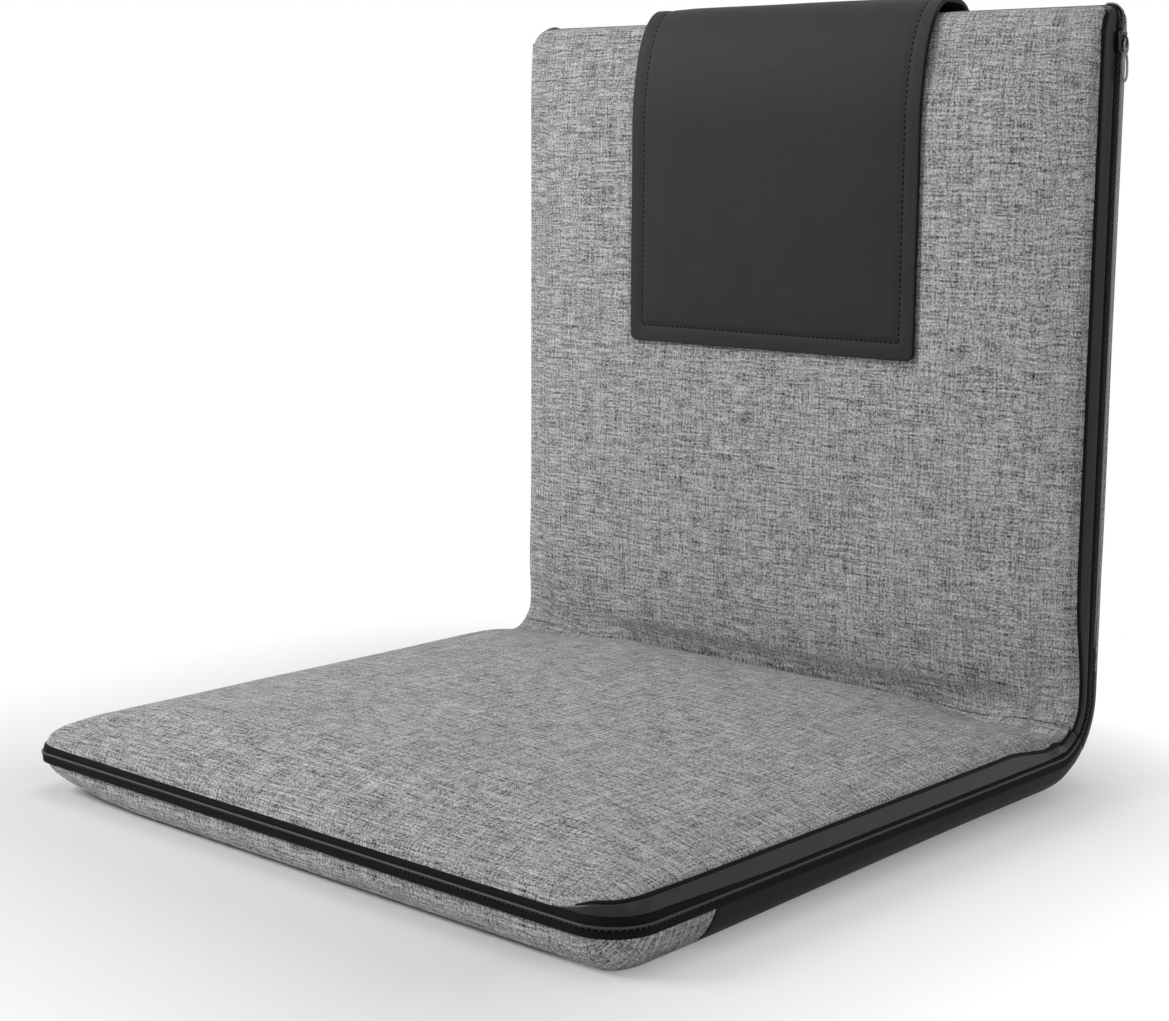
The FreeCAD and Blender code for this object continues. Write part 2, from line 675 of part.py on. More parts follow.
def is_outer_corner(edge):
    """True for a straight edge along X."""
    return edge.Curve.TypeId == "Part::GeomLine" and abs(edge.tangentAt(edge.FirstParameter).x) > STRAIGHT


def hinge_link(side):
    """The curved steel link between the pivots of seat and back on one side."""
    sign = 1 if side == "left" else -1
    name = f"hinge_link_{side}"
    body = doc.addObject("PartDesign::Body", name)
    start = LINK_FACE if sign > 0 else f"-{LINK_FACE} - link_wall"
    sketch = sketch_on(body, "YZ_Plane", "outline", start)
    half = dim("link_half")
    centre = Vector(-BEND, BEND)
    quarter = math.pi / 2
    zed = Vector(0, 0, 1)

    def arc(middle, radius, first, last):
        return sketch.addGeometry(Part.ArcOfCircle(Part.Circle(middle, zed, radius), first, last))

    def line(first, last):
        return sketch.addGeometry(Part.LineSegment(first, last))

    low_eye = arc(Vector(-PIVOT, 0), half, quarter, 3 * quarter)
    low_outer = line(Vector(-PIVOT, -half), Vector(-BEND, -half))
    outer = arc(centre, BEND + half, 3 * quarter, 4 * quarter)
    high_outer = line(Vector(half, BEND), Vector(half, PIVOT))
    high_eye = arc(Vector(0, PIVOT), half, 0, 2 * quarter)
    high_inner = line(Vector(-half, PIVOT), Vector(-half, BEND))
    inner = arc(centre, BEND - half, 3 * quarter, 4 * quarter)
    low_inner = line(Vector(-BEND, half), Vector(-PIVOT, half))
    fix(sketch, "Tangent", low_eye, 2, low_outer, 1)
    fix(sketch, "Tangent", low_outer, 2, outer, 1)
    fix(sketch, "Tangent", outer, 2, high_outer, 1)
    fix(sketch, "Tangent", high_outer, 2, high_eye, 1)
    fix(sketch, "Tangent", high_eye, 2, high_inner, 1)
    fix(sketch, "Tangent", high_inner, 2, inner, 2)
    fix(sketch, "Tangent", inner, 1, low_inner, 1)
    fix(sketch, "Tangent", low_inner, 2, low_eye, 1)
    fix(sketch, "Coincident", outer, 3, inner, 3)
    fix(sketch, "Horizontal", low_outer)
    fix(sketch, "Vertical", high_outer)
    fix(sketch, "PointOnObject", low_eye, 3, -1)
    fix(sketch, "PointOnObject", high_eye, 3, -2)
    fix(sketch, "DistanceX", low_eye, 3, -1, 1, formula="pivot_place", name="low_pivot")
    fix(sketch, "DistanceY", -1, 1, high_eye, 3, formula="pivot_place", name="high_pivot")
    fix(sketch, "Radius", low_eye, formula="link_half", name="eye")
    fix(sketch, "DistanceX", outer, 3, -1, 1, formula="bend_radius", name="bend_centre")
    low_hole = sketch.addGeometry(Part.Circle(Vector(-PIVOT, 0), zed, dim("pivot_radius") + dim("running_gap")))
    high_hole = sketch.addGeometry(Part.Circle(Vector(0, PIVOT), zed, dim("pivot_radius") + dim("running_gap")))
    fix(sketch, "Coincident", low_hole, 3, low_eye, 3)
    fix(sketch, "Coincident", high_hole, 3, high_eye, 3)
    fix(sketch, "Radius", low_hole, formula="pivot_radius + running_gap", name="low_hole")
    fix(sketch, "Equal", low_hole, high_hole)
    pad_out(body, sketch, "link_wall")
    keep(body, name, SEAT)


def frame_tube(half):
    """The bent steel tube of a half: two legs and a cross run near the free edge."""
    name = f"{half['name']}_frame_tube"
    body = doc.addObject("PartDesign::Body", name)
    path = sketch_on(body, "XY_Plane", "path")
    far = -(dim(half["length"]) - dim("frame_inset"))
    near = -dim("tube_start")
    bend = dim("frame_bend")
    zed = Vector(0, 0, 1)
    right = path.addGeometry(Part.LineSegment(Vector(TUBE_X, near), Vector(TUBE_X, far + bend)))
    turn = Part.Circle(Vector(TUBE_X - bend, far + bend), zed, bend)
    first = path.addGeometry(Part.ArcOfCircle(turn, 1.5 * math.pi, 2 * math.pi))
    cross = path.addGeometry(Part.LineSegment(Vector(TUBE_X - bend, far), Vector(bend - TUBE_X, far)))
    turn = Part.Circle(Vector(bend - TUBE_X, far + bend), zed, bend)
    second = path.addGeometry(Part.ArcOfCircle(turn, math.pi, 1.5 * math.pi))
    left = path.addGeometry(Part.LineSegment(Vector(-TUBE_X, far + bend), Vector(-TUBE_X, near)))
    fix(path, "Tangent", right, 2, first, 2)
    fix(path, "Tangent", first, 1, cross, 1)
    fix(path, "Tangent", cross, 2, second, 2)
    fix(path, "Tangent", second, 1, left, 1)
    fix(path, "Vertical", right)
    fix(path, "Horizontal", cross)
    fix(path, "Vertical", left)
    fix(path, "Equal", first, second)
    fix(path, "Radius", first, formula="frame_bend", name="bend")
    fix(path, "DistanceX", -1, 1, right, 1, formula="seat_width / 2 - tube_inset", name="side")
    fix(path, "DistanceX", left, 2, -1, 1, formula="seat_width / 2 - tube_inset", name="other_side")
    fix(path, "DistanceY", right, 1, -1, 1, formula="tube_start", name="start")
    fix(path, "DistanceY", left, 2, -1, 1, formula="tube_start", name="other_start")
    fix(path, "DistanceY", cross, 1, -1, 1, formula=f"{half['length']} - frame_inset", name="reach")
    ring = sketch_on(body, "XZ_Plane", "ring", "tube_start")
    for size, radius in (("outer", "tube_radius"), ("bore", "tube_radius - tube_wall")):
        circle = ring.addGeometry(Part.Circle(Vector(TUBE_X, 0), zed, sheet_value(radius)))
        fix(ring, "Radius", circle, formula=radius, name=size)
        fix(ring, "PointOnObject", circle, 3, -1)
        fix(ring, "DistanceX", -1, 1, circle, 3, formula="seat_width / 2 - tube_inset", name=f"{size}_side")
    pipe = body.newObject("PartDesign::AdditivePipe", "Pipe")
    pipe.Profile = ring
    pipe.Spine = (path, [])
    doc.recompute()
    solid = pipe.Shape.Volume
    holes = sketch_on(body, "YZ_Plane", "holes")
    draw_circle(holes, "-fix_first", "0", "fix_radius", "first")
    draw_circle(holes, "-fix_first - fix_pitch", "0", "fix_radius", "second")
    drill = body.newObject("PartDesign::Pocket", "Drill")
    drill.Profile = holes
    drill.Type = 1
    drill.Midplane = True
    doc.recompute()
    if drill.Shape.Volume >= solid:
        raise RuntimeError(f"the rivet holes of {name} cut nothing")
    keep(body, name, half)


def cross_tube(half):
    """The straight tube between the legs of a frame."""
    name = half["name"]
    length = "seat_width - 2 * tube_inset"
    start = f"-({length}) / 2"
    outer = rod("cross_outer", "cross_radius", length, start, "-cross_place", "0", 1)
    tools = [rod("cross_bore", "cross_radius - tube_wall", length, start, "-cross_place", "0", 1)]
    for sign in (1, -1):
        leg = doc.addObject("Part::Cylinder", "leg_room")
        leg.Placement = Placement(Vector(0, 0, 0), Rotation(AXIS_X, 90))
        leg.setExpression("Radius", "Dimensions.tube_radius")
        leg.setExpression("Height", "Dimensions.seat_length")
        leg.setExpression("Placement.Base.x", sheet_names(f"{sign} * (seat_width / 2 - tube_inset)"))
        tools.append(leg)
    coped = cut(f"{name}_cross_tube", outer, fused("cross_tools", tools))
    keep(coped, f"{name}_cross_tube", half)


def tube_plugs(half):
    """A plastic plug in each open end of the frame tube."""
    name = half["name"]
    parts = []
    for sign in (1, -1):
        for size, radius, length, place in (
            ("plug_shank", "tube_radius - tube_wall", "plug_depth", "-tube_start"),
            ("plug_cap", "tube_radius", "plug_head", "-tube_start + plug_head"),
        ):
            part = doc.addObject("Part::Cylinder", size)
            part.Placement = Placement(Vector(0, 0, 0), Rotation(AXIS_X, 90))
            part.setExpression("Radius", sheet_names(radius))
            part.setExpression("Height", sheet_names(length))
            part.setExpression("Placement.Base.x", sheet_names(f"{sign} * (seat_width / 2 - tube_inset)"))
            part.setExpression("Placement.Base.y", sheet_names(place))
            parts.append(part)
    keep(fused(f"{name}_tube_plugs", parts), f"{name}_tube_plugs", half)


def support_panel(half):
    """The thin board that rests on the frame and carries the cushion."""
    name = f"{half['name']}_support_panel"
    body = doc.addObject("PartDesign::Body", name)
    outline = sketch_on(body, "XY_Plane", "outline", "tube_radius + layer_gap")
    side = "(seat_width / 2 - tube_inset + tube_radius / 2)"
    far = f"-({half['length']} - frame_inset + tube_radius / 2)"
    draw_rectangle(outline, f"-{side}", side, far, "-(tube_start + plug_head)")
    pad_out(body, outline, "panel_wall")
    keep(body, name, half)


def carry_handle():
    """The leather saddle over the top edge: two flaps and a bridge that fingers go under."""
    wall = dim("handle_wall")
    length = dim("back_height")
    stand = dim("layer_gap")
    front = dim("back_crown") + stand
    rear = -dim("shell_depth") - stand
    top = dim("handle_gap")
    rise = dim("handle_rise")
    bend = dim("handle_round")
    outer = saddle_face(front + wall, rear - wall, top + wall, rise + wall, bend + wall)
    inner = saddle_face(front, rear, top, rise, bend)
    low_front = box(-BIG, BIG, -length + dim("handle_front"), BIG, 0, BIG)
    low_rear = box(-BIG, BIG, -length + dim("handle_rear"), BIG, -BIG, 0)
    saddle = outer.cut(inner).cut(low_front).cut(low_rear)
    feature("carry_handle", BACK, saddle)


def saddle_face(front, rear, top, rise, bend):
    """A block over the top edge: a long elliptic rise in front, a round bend behind."""
    half = dim("handle_width") / 2
    crest = -dim("back_height") - top
    heart = Vector(-half, crest + bend, rear + bend)
    slant = Vector(0, -bend, -bend) * math.sqrt(0.5)
    low = Vector(-half, crest + bend, rear)
    high = Vector(-half, crest, rear + bend)
    peak = Vector(-half, crest, 0)
    middle = Vector(-half, crest + rise, 0)
    brow = Vector(-half, crest + rise, front)
    ends = [Vector(-half, 0, front), Vector(-half, 0, rear)]
    curve = Part.ArcOfEllipse(Part.Ellipse(peak, brow, middle), 0, math.pi / 2)
    outline = [
        Part.LineSegment(ends[1], low),
        Part.Arc(low, heart + slant, high),
        Part.LineSegment(high, peak),
        curve,
        Part.LineSegment(brow, ends[0]),
        Part.LineSegment(ends[0], ends[1]),
    ]
    wire = Part.Wire([line.toShape() for line in outline])
    return Part.Face(wire).extrude(Vector(2 * half, 0, 0))


def pocket_panel():
    """The rear pocket: a shallow pan sewn to the rear cover on three sides, open at the top."""
    wall = dim("cover_wall")
    seam = dim("pocket_seam")
    half = dim("pocket_width") / 2
    mouth = -dim("pocket_mouth")
    foot = mouth + dim("pocket_depth")
    face = -dim("shell_depth") - dim("layer_gap")
    low = face - dim("pocket_room") - wall
    outer = box(-half, half, mouth, foot, low, face)
    rim_edges = [
        edge for edge in outer.Edges
        if edge.CenterOfMass.z < low + NEAR and not edge.CenterOfMass.y < mouth + NEAR
    ]
    outer = outer.makeFillet(dim("pocket_room"), rim_edges)
    inner = box(-half + seam, half - seam, mouth - 1, foot - seam, face - dim("pocket_room"), face + 1)
    feature("pocket_panel", BACK, outer.cut(inner))


def edges_along_x(shape):
    """The straight edges of a block that run across the chair."""
    return [edge for edge in shape.Edges if abs(edge.tangentAt(0).x) > STRAIGHT]


def zip_slider():
    """The slider that rides over the teeth on the back's edge, with two ears for the pull."""
    wall = dim("slider_wall")
    gap = dim("slider_gap")
    near = HALF_WIDTH + dim("trim_wall") + gap
    top = HALF_WIDTH + dim("coil_reach") + gap + wall
    half_width = dim("slider_width") / 2
    half_length = dim("slider_length") / 2
    place = -dim("back_height") + dim("back_corner") + dim("slider_top")
    body = box(-top, -near, place - half_length, place + half_length, -half_width, half_width)
    body = body.makeFillet(half_width * SLIDER_CORNER, edges_along_x(body))
    channel = dim("coil_half") + gap
    body = body.cut(box(-top + wall, 0, -BIG, BIG, -channel, channel))
    ears = ear_pair(place, top)
    feature("zip_slider", BACK, body.fuse(ears).removeSplitter())


def pull_line():
    """Place and distance from the middle of the pull tab's pin."""
    top = HALF_WIDTH + dim("coil_reach") + dim("slider_gap") + dim("slider_wall")
    place = -dim("back_height") + dim("back_corner") + dim("slider_top")
    return place, top + dim("ear_height") / 2


def ear_pair(place, top):
    """Two ears with a hole each, at both sides of the pull tab."""
    gap = dim("slider_gap")
    inner = dim("pull_width") / 4 + gap
    height = dim("ear_height")
    ear = box(-top - height, -top + EAR_SINK, place - height, place + height, inner, inner + EAR_WALL)
    line, offset = pull_line()
    hole = Part.makeCylinder(dim("pull_pin") + PIN_CLEAR, BIG, Vector(-offset, line, -BIG / 2), Vector(0, 0, 1))
    pair = ear.fuse(ear.mirror(Vector(0, 0, 0), Vector(0, 0, 1)))
    return pair.cut(hole)


def zip_pull():
    """The pull tab: a slim plate with an oval hole, hung on its own pin."""
    place, offset = pull_line()
    wall = dim("pull_wall")
    half = dim("pull_width") / 2
    neck = half / 2
    length = dim("pull_length")
    low = place + length
    pin_radius = dim("pull_pin")
    reach = neck + dim("slider_gap") + EAR_WALL
    pin = Part.makeCylinder(pin_radius, 2 * reach, Vector(-offset, place, -reach), Vector(0, 0, 1))
    x0 = -offset - wall / 2
    x1 = -offset + wall / 2
    stem = box(x0, x1, place, place + length * STEM_REACH, -neck, neck)
    tab = box(x0, x1, place + length * TAB_START, low, -half, half)
    tab = tab.makeFillet(half * TAB_CORNER, edges_along_x(tab))
    width = half * OVAL_HALF
    oval = box(-BIG, BIG, low - length * OVAL_START, low - length * OVAL_END, -width, width)
    oval = oval.makeFillet(half * OVAL_CORNER, edges_along_x(oval))
    feature("zip_pull", BACK, pin.fuse(stem).fuse(tab).cut(oval).removeSplitter())


for half in (SEAT, BACK):
    frame_tube(half)
    cross_tube(half)
    tube_plugs(half)
    support_panel(half)
    for side in ("left", "right"):
        hinge_leaf(half, side)
    leaf_rivets(half)
    pivot_rivets(half)
    pivot_washers(half)
    stop_pins(half)
    pad_layers(half)
for side in ("left", "right"):
    hinge_link(side)
top_cover(SEAT, "seat_top_cover")
top_cover(BACK, "back_front_cover")
lower_covers(SEAT, -dim("seat_length") + dim("front_fabric"), "seat_lower_cover", "seat_base_panel")
lower_covers(BACK, -dim("rear_base_reach"), "back_rear_cover", "back_base_panel")
seat_trim()
back_trim()
carry_handle()
pocket_panel()
zip_slider()
zip_pull()
doc.recompute()

for thing in doc.Objects:
    if "Invalid" in thing.State or "Error" in thing.State:
        raise RuntimeError(f"{thing.Label} is {thing.State}")
for thing in sub_parts:
    if thing.Shape.isNull() or not thing.Shape.isValid():
        raise RuntimeError(f"{thing.Label} has no valid shape")
os.makedirs("parts", exist_ok=True)
for thing in sub_parts:
    thing.Shape.exportStep(f"parts/{thing.Label}.step")
    print(f"{thing.Label}: {len(thing.Shape.Solids)} solids, {thing.Shape.Volume / 1000:.2f} cm3")
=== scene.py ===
import bisect
from math import atan2, copysign, cos, exp, hypot, pi, radians, sin, sqrt, tanh

import bmesh
import bpy
from mathutils import Matrix, Vector, noise


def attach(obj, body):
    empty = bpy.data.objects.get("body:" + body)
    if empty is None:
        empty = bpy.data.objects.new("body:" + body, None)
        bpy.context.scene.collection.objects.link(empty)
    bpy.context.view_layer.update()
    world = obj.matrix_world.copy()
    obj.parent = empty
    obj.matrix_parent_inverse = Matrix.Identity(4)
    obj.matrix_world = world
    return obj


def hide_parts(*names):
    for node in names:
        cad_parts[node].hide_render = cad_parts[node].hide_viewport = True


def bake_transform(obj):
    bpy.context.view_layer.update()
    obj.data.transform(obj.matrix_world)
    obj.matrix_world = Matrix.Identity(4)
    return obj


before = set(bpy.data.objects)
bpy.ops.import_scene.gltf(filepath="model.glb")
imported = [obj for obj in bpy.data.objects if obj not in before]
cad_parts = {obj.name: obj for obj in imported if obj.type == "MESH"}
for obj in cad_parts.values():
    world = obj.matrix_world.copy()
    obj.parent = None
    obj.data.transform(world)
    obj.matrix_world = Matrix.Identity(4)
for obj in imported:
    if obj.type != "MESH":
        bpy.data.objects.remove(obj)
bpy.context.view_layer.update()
scene = bpy.context.scene

# Floor chair with a padded seat and a padded back. All sizes are in metres.
# Each half is drawn in a half frame: the bend corner at the origin, the half reaching along -Y to
# its free edge, the sitter's side up, the zip line at height 0.
MM = 0.001
TURN = 2 * pi
QUARTER = pi / 2
HALF_WIDTH = 214.5 * MM
SEAT_LENGTH = 394 * MM
BACK_LENGTH = 408 * MM
SHELL_DEPTH = 22 * MM
BEND = 30 * MM
CREASE_HEIGHT = 20 * MM
BEND_ARC = BEND * pi / 4
CORNER = Vector((0, SEAT_LENGTH / 2, SHELL_DEPTH))
# A half has two corner radii, on its +X and on its -X side. Its slope is how far its sides lean in.
SEAT = dict(name="seat", length=SEAT_LENGTH, crown=28 * MM, corners=(24 * MM, 13 * MM), slope=3 * MM)
BACK = dict(name="back", length=BACK_LENGTH, crown=25 * MM, corners=(14 * MM, 6 * MM), slope=6.5 * MM)
TO_ROW = {
    "seat": Matrix.Translation(CORNER),
    "back": Matrix.Translation(CORNER) @ Matrix.Rotation(pi, 4, Vector((0, -1, 1))),
}


def set_all(thing, **settings):
    for name, setting in settings.items():
        setattr(thing, name, setting)


# Materials


class Value:
    """A number that varies over a surface; sums on it add Math nodes."""

    def __init__(self, tree, socket):
        self.tree = tree
        self.socket = socket

    def math(self, operation, *numbers, clamp=False):
        settings = {"operation": operation, "use_clamp": clamp}
        node = self.tree.node("ShaderNodeMath", settings, dict(enumerate(numbers)))
        return Value(self.tree, node.outputs[0])

    def __add__(self, other):
        return self.math("ADD", self, other)

    __radd__ = __add__

    def __sub__(self, other):
        return self.math("SUBTRACT", self, other)

    def __rsub__(self, other):
        return self.math("SUBTRACT", other, self)

    def __mul__(self, other):
        return self.math("MULTIPLY", self, other)

    __rmul__ = __mul__

    def wave(self, pitch):
        """A sine wave over a length."""
        turns = self * (TURN / pitch)
        return turns.math("SINE", turns)

    def clamped(self):
        return self.math("ADD", self, 0.0, clamp=True)

    def above(self, edge, soft):
        """0 below an edge and 1 above it, with a soft step between."""
        return self.math("MULTIPLY_ADD", self, 1 / soft, 0.5 - edge / soft, clamp=True)


class NodeTree:
    """The nodes of a material or a world, and short ways to add to them."""

    def __init__(self, owner):
        owner.use_nodes = True
        self.nodes = owner.node_tree.nodes
        self.links = owner.node_tree.links

    def node(self, kind, settings=None, inputs=None):
        """Add a node: its settings first, then its inputs."""
        node = self.nodes.new(kind)
        set_all(node, **(settings or {}))
        self.feed(node, inputs or {})
        return node

    def feed(self, node, inputs):
        """Give inputs of a node their values or links."""
        for name, given in inputs.items():
            if isinstance(given, Value):
                given = given.socket
            if isinstance(given, bpy.types.NodeSocket):
                self.links.new(given, node.inputs[name])
            else:
                node.inputs[name].default_value = given

    def place(self):
        """Object coordinates, which are the row frame's metres."""
        return self.node("ShaderNodeTexCoord").outputs["Object"]

    def stretched(self, vector, scale):
        node = self.node("ShaderNodeVectorMath", {"operation": "MULTIPLY"}, {0: vector, 1: scale})
        return node.outputs[0]

    def noise(self, vector, scale, detail=2, roughness=0.6):
        inputs = {"Vector": vector, "Scale": scale, "Detail": detail, "Roughness": roughness}
        return Value(self, self.node("ShaderNodeTexNoise", None, inputs).outputs["Fac"])

    def cells(self, vector, scale):
        """Distance to the edges of small cells."""
        settings = {"feature": "DISTANCE_TO_EDGE"}
        node = self.node("ShaderNodeTexVoronoi", settings, {"Vector": vector, "Scale": scale})
        return Value(self, node.outputs["Distance"])

    def axes(self, vector):
        outputs = self.node("ShaderNodeSeparateXYZ", None, {0: vector}).outputs
        return [Value(self, socket) for socket in outputs]

    def seen_straight(self):
        """1 for what the camera sees, also through or off a surface."""
        outputs = self.node("ShaderNodeLightPath").outputs
        plain = Value(self, outputs["Is Camera Ray"]) + Value(self, outputs["Is Transmission Ray"])
        return plain.math("MAXIMUM", plain, Value(self, outputs["Is Glossy Ray"]))

    def blend(self, factor, first, second):
        """A colour between two colours."""
        node = self.node("ShaderNodeMix", {"data_type": "RGBA"}, {0: factor, 6: first, 7: second})
        return node.outputs[2]

    def show(self, output, share, first, second):
        """Send a mix of two shaders to an output node."""
        node = self.node("ShaderNodeMixShader", None, {0: share, 1: first, 2: second})
        self.feed(self.nodes[output], {"Surface": node.outputs[0]})


class Finish(NodeTree):
    """One surface finish: a material whose shader is given uneven values."""

    def __init__(self, name, roughness=0.6, metallic=0.0, coat=0.0, shine=0.5):
        self.material = bpy.data.materials.new(name)
        super().__init__(self.material)
        self.shader = self.nodes["Principled BSDF"]
        levels = {"Roughness": roughness, "Metallic": metallic, "Coat Weight": coat}
        self.feed(self.shader, {**levels, "Specular IOR Level": shine})

    def surface(self, colour, roughness, height, distance, strength=1.0):
        """The material; its bump's height from 0 to 1 stands for a distance."""
        inputs = {"Height": height, "Distance": distance, "Strength": strength}
        raised = self.node("ShaderNodeBump", None, inputs).outputs["Normal"]
        self.feed(self.shader, {"Base Color": colour, "Roughness": roughness, "Normal": raised})
        return self.material


def grey(level):
    return (level, level, level, 1)


YARN = 1.3 * MM
TAPE_RIB = 0.9 * MM
TAPE_CROSS_RIB = 1.1 * MM


def woven_fabric(name, light, dark):
    """Heathered linen-look cloth: uneven pale and dark yarns cross."""
    cloth = Finish(name, roughness=0.92, shine=0.2)
    flat = cloth.node("ShaderNodeAttribute", {"attribute_name": "weave"}).outputs["Vector"]
    across, along, _ = cloth.axes(flat)
    over = across.wave(YARN) * along.wave(YARN)

    def streaks(scale, detail, roughness):
        """Noise drawn out along the yarns of one direction."""
        return cloth.noise(cloth.stretched(flat, scale), 1, detail, roughness)

    upright = streaks((780, 75, 1), 3, 0.7)
    level = streaks((60, 780, 1), 3, 0.7)
    speckle = cloth.noise(flat, 700, 2, 0.8)
    patch = cloth.noise(flat, 34, 3)
    tall = streaks((330, 17, 1), 2, 0.6)
    wide = streaks((17, 330, 1), 2, 0.6)
    top = over.above(0.0, 1.2)
    yarns = upright.above(0.5, 0.16) * top + level.above(0.5, 0.16) * (1 - top)
    slubs = tall.above(0.5, 0.3) + wide.above(0.5, 0.3)
    flecks = speckle.above(0.5, 0.13) * 0.48 + patch.above(0.5, 0.6) * 0.1
    tone = yarns * 0.6 + slubs * 0.16 + flecks - 0.18
    colour = cloth.blend(tone.clamped(), grey(dark), grey(light))
    return cloth.surface(colour, 0.84 + speckle * 0.14, over * 0.25 + speckle * 0.7 + yarns * 0.4, 0.8 * MM)


def soft_leather(name, base, edge, grain=900, roughness=0.5, shine=0.25):
    """Faux leather: fine pebble grain, a little worn and rubbed."""
    hide = Finish(name, roughness=roughness, shine=shine)
    place = hide.place()
    pebbles = hide.cells(place, grain)
    fine = hide.noise(place, grain * 2.3)
    wear = hide.noise(place, 38, 4)
    colour = hide.blend(wear.above(0.56, 0.35) * 0.6 + fine * 0.3, grey(base), grey(edge))
    rubbed = roughness - 0.06 + wear * 0.12 + pebbles.above(0.1, 0.2) * -0.04
    return hide.surface(colour, rubbed, pebbles.above(0.12, 0.24) * 0.8 + fine * 0.25, 0.16 * MM, 0.6)


def glossy_vinyl(name):
    """Smooth shiny vinyl with faint ripples."""
    vinyl = Finish(name, roughness=0.3, coat=0.12, shine=0.25)
    vinyl.feed(vinyl.shader, {"Coat Roughness": 0.2})
    place = vinyl.place()
    ripple = vinyl.noise(place, 45, 2, 0.5)
    pores = vinyl.noise(place, 1900)
    colour = vinyl.blend(ripple.above(0.5, 0.5), grey(0.006), grey(0.011))
    dull = 0.26 + ripple * 0.1 + pores * 0.06
    return vinyl.surface(colour, dull, ripple * 0.7 + pores * 0.1, 0.9 * MM, 0.35)


def zip_cloth(name):
    """Close ribbed tape of a zip."""
    tape = Finish(name, roughness=0.78, shine=0.12)
    place = tape.place()
    x, y, z = tape.axes(place)
    ribs = (x + y + z).wave(TAPE_RIB) * 0.5 + 0.5
    cross = (x - y + z).wave(TAPE_CROSS_RIB) * 0.5 + 0.5
    fuzz = tape.noise(place, 1500, 2, 0.7)
    colour = tape.blend(ribs * 0.4 + fuzz * 0.6, grey(0.002), grey(0.009))
    return tape.surface(colour, 0.7 + fuzz * 0.2, ribs * 0.5 + cross * 0.5 + fuzz * 0.3, 0.2 * MM, 0.7)


def polymer(name, level, roughness, speck=700, shine=0.3):
    """Moulded or extruded plastic with a faint texture."""
    plastic = Finish(name, roughness=roughness, shine=shine)
    place = plastic.place()
    cloud = plastic.noise(place, 55, 3, 0.5)
    specks = plastic.noise(place, speck)
    colour = plastic.blend(cloud, grey(level * 0.8), grey(level * 1.25))
    return plastic.surface(colour, roughness - 0.08 + specks * 0.16, specks, 0.06 * MM, 0.5)


def metal(name, level, roughness, drawn=(1, 1, 1)):
    """Plated or bare metal with fine draw lines and dull spots."""
    steel = Finish(name, roughness=roughness, metallic=1.0)
    place = steel.place()
    lines = steel.noise(steel.stretched(place, drawn), 900)
    spots = steel.noise(place, 160, 4, 0.65)
    colour = steel.blend(spots.above(0.55, 0.4), grey(level), grey(level * 0.7))
    dull = roughness - 0.05 + lines * 0.12 + spots.above(0.6, 0.3) * 0.12
    return steel.surface(colour, dull, lines * 0.5 + spots * 0.5, 0.04 * MM, 0.5)


def board(name):
    """Plain fibre board of the hidden support panels."""
    fibre = Finish(name, roughness=0.8)
    place = fibre.place()
    strands = fibre.noise(fibre.stretched(place, (1, 4, 4)), 220, 4, 0.7)
    flecks = fibre.noise(place, 900)
    tone = strands * 0.7 + flecks * 0.3
    colour = fibre.blend(tone, (0.10, 0.062, 0.035, 1), (0.27, 0.18, 0.11, 1))
    return fibre.surface(colour, 0.72 + flecks * 0.16, tone, 0.3 * MM, 0.6)


FABRIC = woven_fabric("heathered_grey_cloth", 0.86, 0.015)
BASE_LEATHER = soft_leather("base_faux_leather", 0.007, 0.012, grain=760, roughness=0.5, shine=0.12)
HANDLE_LEATHER = soft_leather("saddle_faux_leather", 0.016, 0.025, grain=900, roughness=0.6, shine=0.2)
EDGE_PAINT = polymer("painted_leather_edge", 0.006, 0.5, shine=0.2)
THREAD = polymer("black_sewing_thread", 0.003, 0.7, speck=2600, shine=0.1)
BAND_VINYL = glossy_vinyl("glossy_band_vinyl")
# A seam cord, painted near black also for the shade in the sunk seam beside the bands.
SEAM_CORD_SHADE = polymer("black_seam_cord_painted_shade", 0.003, 0.6, speck=1800, shine=0.1)
TAPE = zip_cloth("black_zip_tape")
TEETH = polymer("black_zip_coil", 0.03, 0.4)
PIPING = polymer("satin_black_piping", 0.045, 0.45, speck=1200)
ZIP_METAL = metal("dark_nickel", 0.20, 0.28)
SLIDER_METAL = metal("black_nickel", 0.04, 0.3)
# A pale grey strip that paints a reflection beside the back's zip.
PAINTED_REFLECTION = soft_leather("painted_reflection_strip", 0.24, 0.34, grain=900, roughness=0.35, shine=0.4)
STEEL = metal("zinc_plated_steel", 0.55, 0.34, drawn=(3, 0.2, 3))
PLASTIC = polymer("black_plug_plastic", 0.02, 0.42)
BOARD = board("fibre_board")


# Shapes


def swell(distance, run):
    """A quarter ellipse from 0 at an edge to 1 at the end of its run."""
    left = 1 - min(max(distance, 0.0), run) / run
    return sqrt(1 - left * left)


def ramp(value, low, high):
    """A smooth step from 0 at a low value to 1 at a high one."""
    share = min(max((value - low) / (high - low), 0.0), 1.0)
    return share * share * (3 - 2 * share)


def mix(share, first, second):
    return first + (second - first) * share


def bump(value, middle, run):
    """A smooth hump, 1 high at its middle."""
    return exp(-((value - middle) / run) ** 2)


def bent(point):
    """Carry a point round the bend; before it, y counts the length of the zip line."""
    x, y, z = point
    if y <= -BEND:
        return Vector((x, y, z))
    turn = (y + BEND) / BEND
    radius = BEND - z
    return Vector((x, -BEND + radius * sin(turn), BEND - radius * cos(turn)))


def unbent(point):
    """The straight place of a point that lies round the bend."""
    x, y, z = point
    if y <= -BEND:
        return Vector((x, y, z))
    turn = atan2(y + BEND, BEND - z)
    radius = hypot(y + BEND, BEND - z)
    return Vector((x, -BEND + BEND * turn, BEND - radius))


def mapped_grid(across, along, shape):
    """A grid whose points are set from their two shares, 0 to 1."""
    bm = bmesh.new()
    bmesh.ops.create_grid(bm, x_segments=across, y_segments=along, size=0.5)
    for vert in bm.verts:
        vert.co = shape(vert.co.x + 0.5, vert.co.y + 0.5)
    return bm


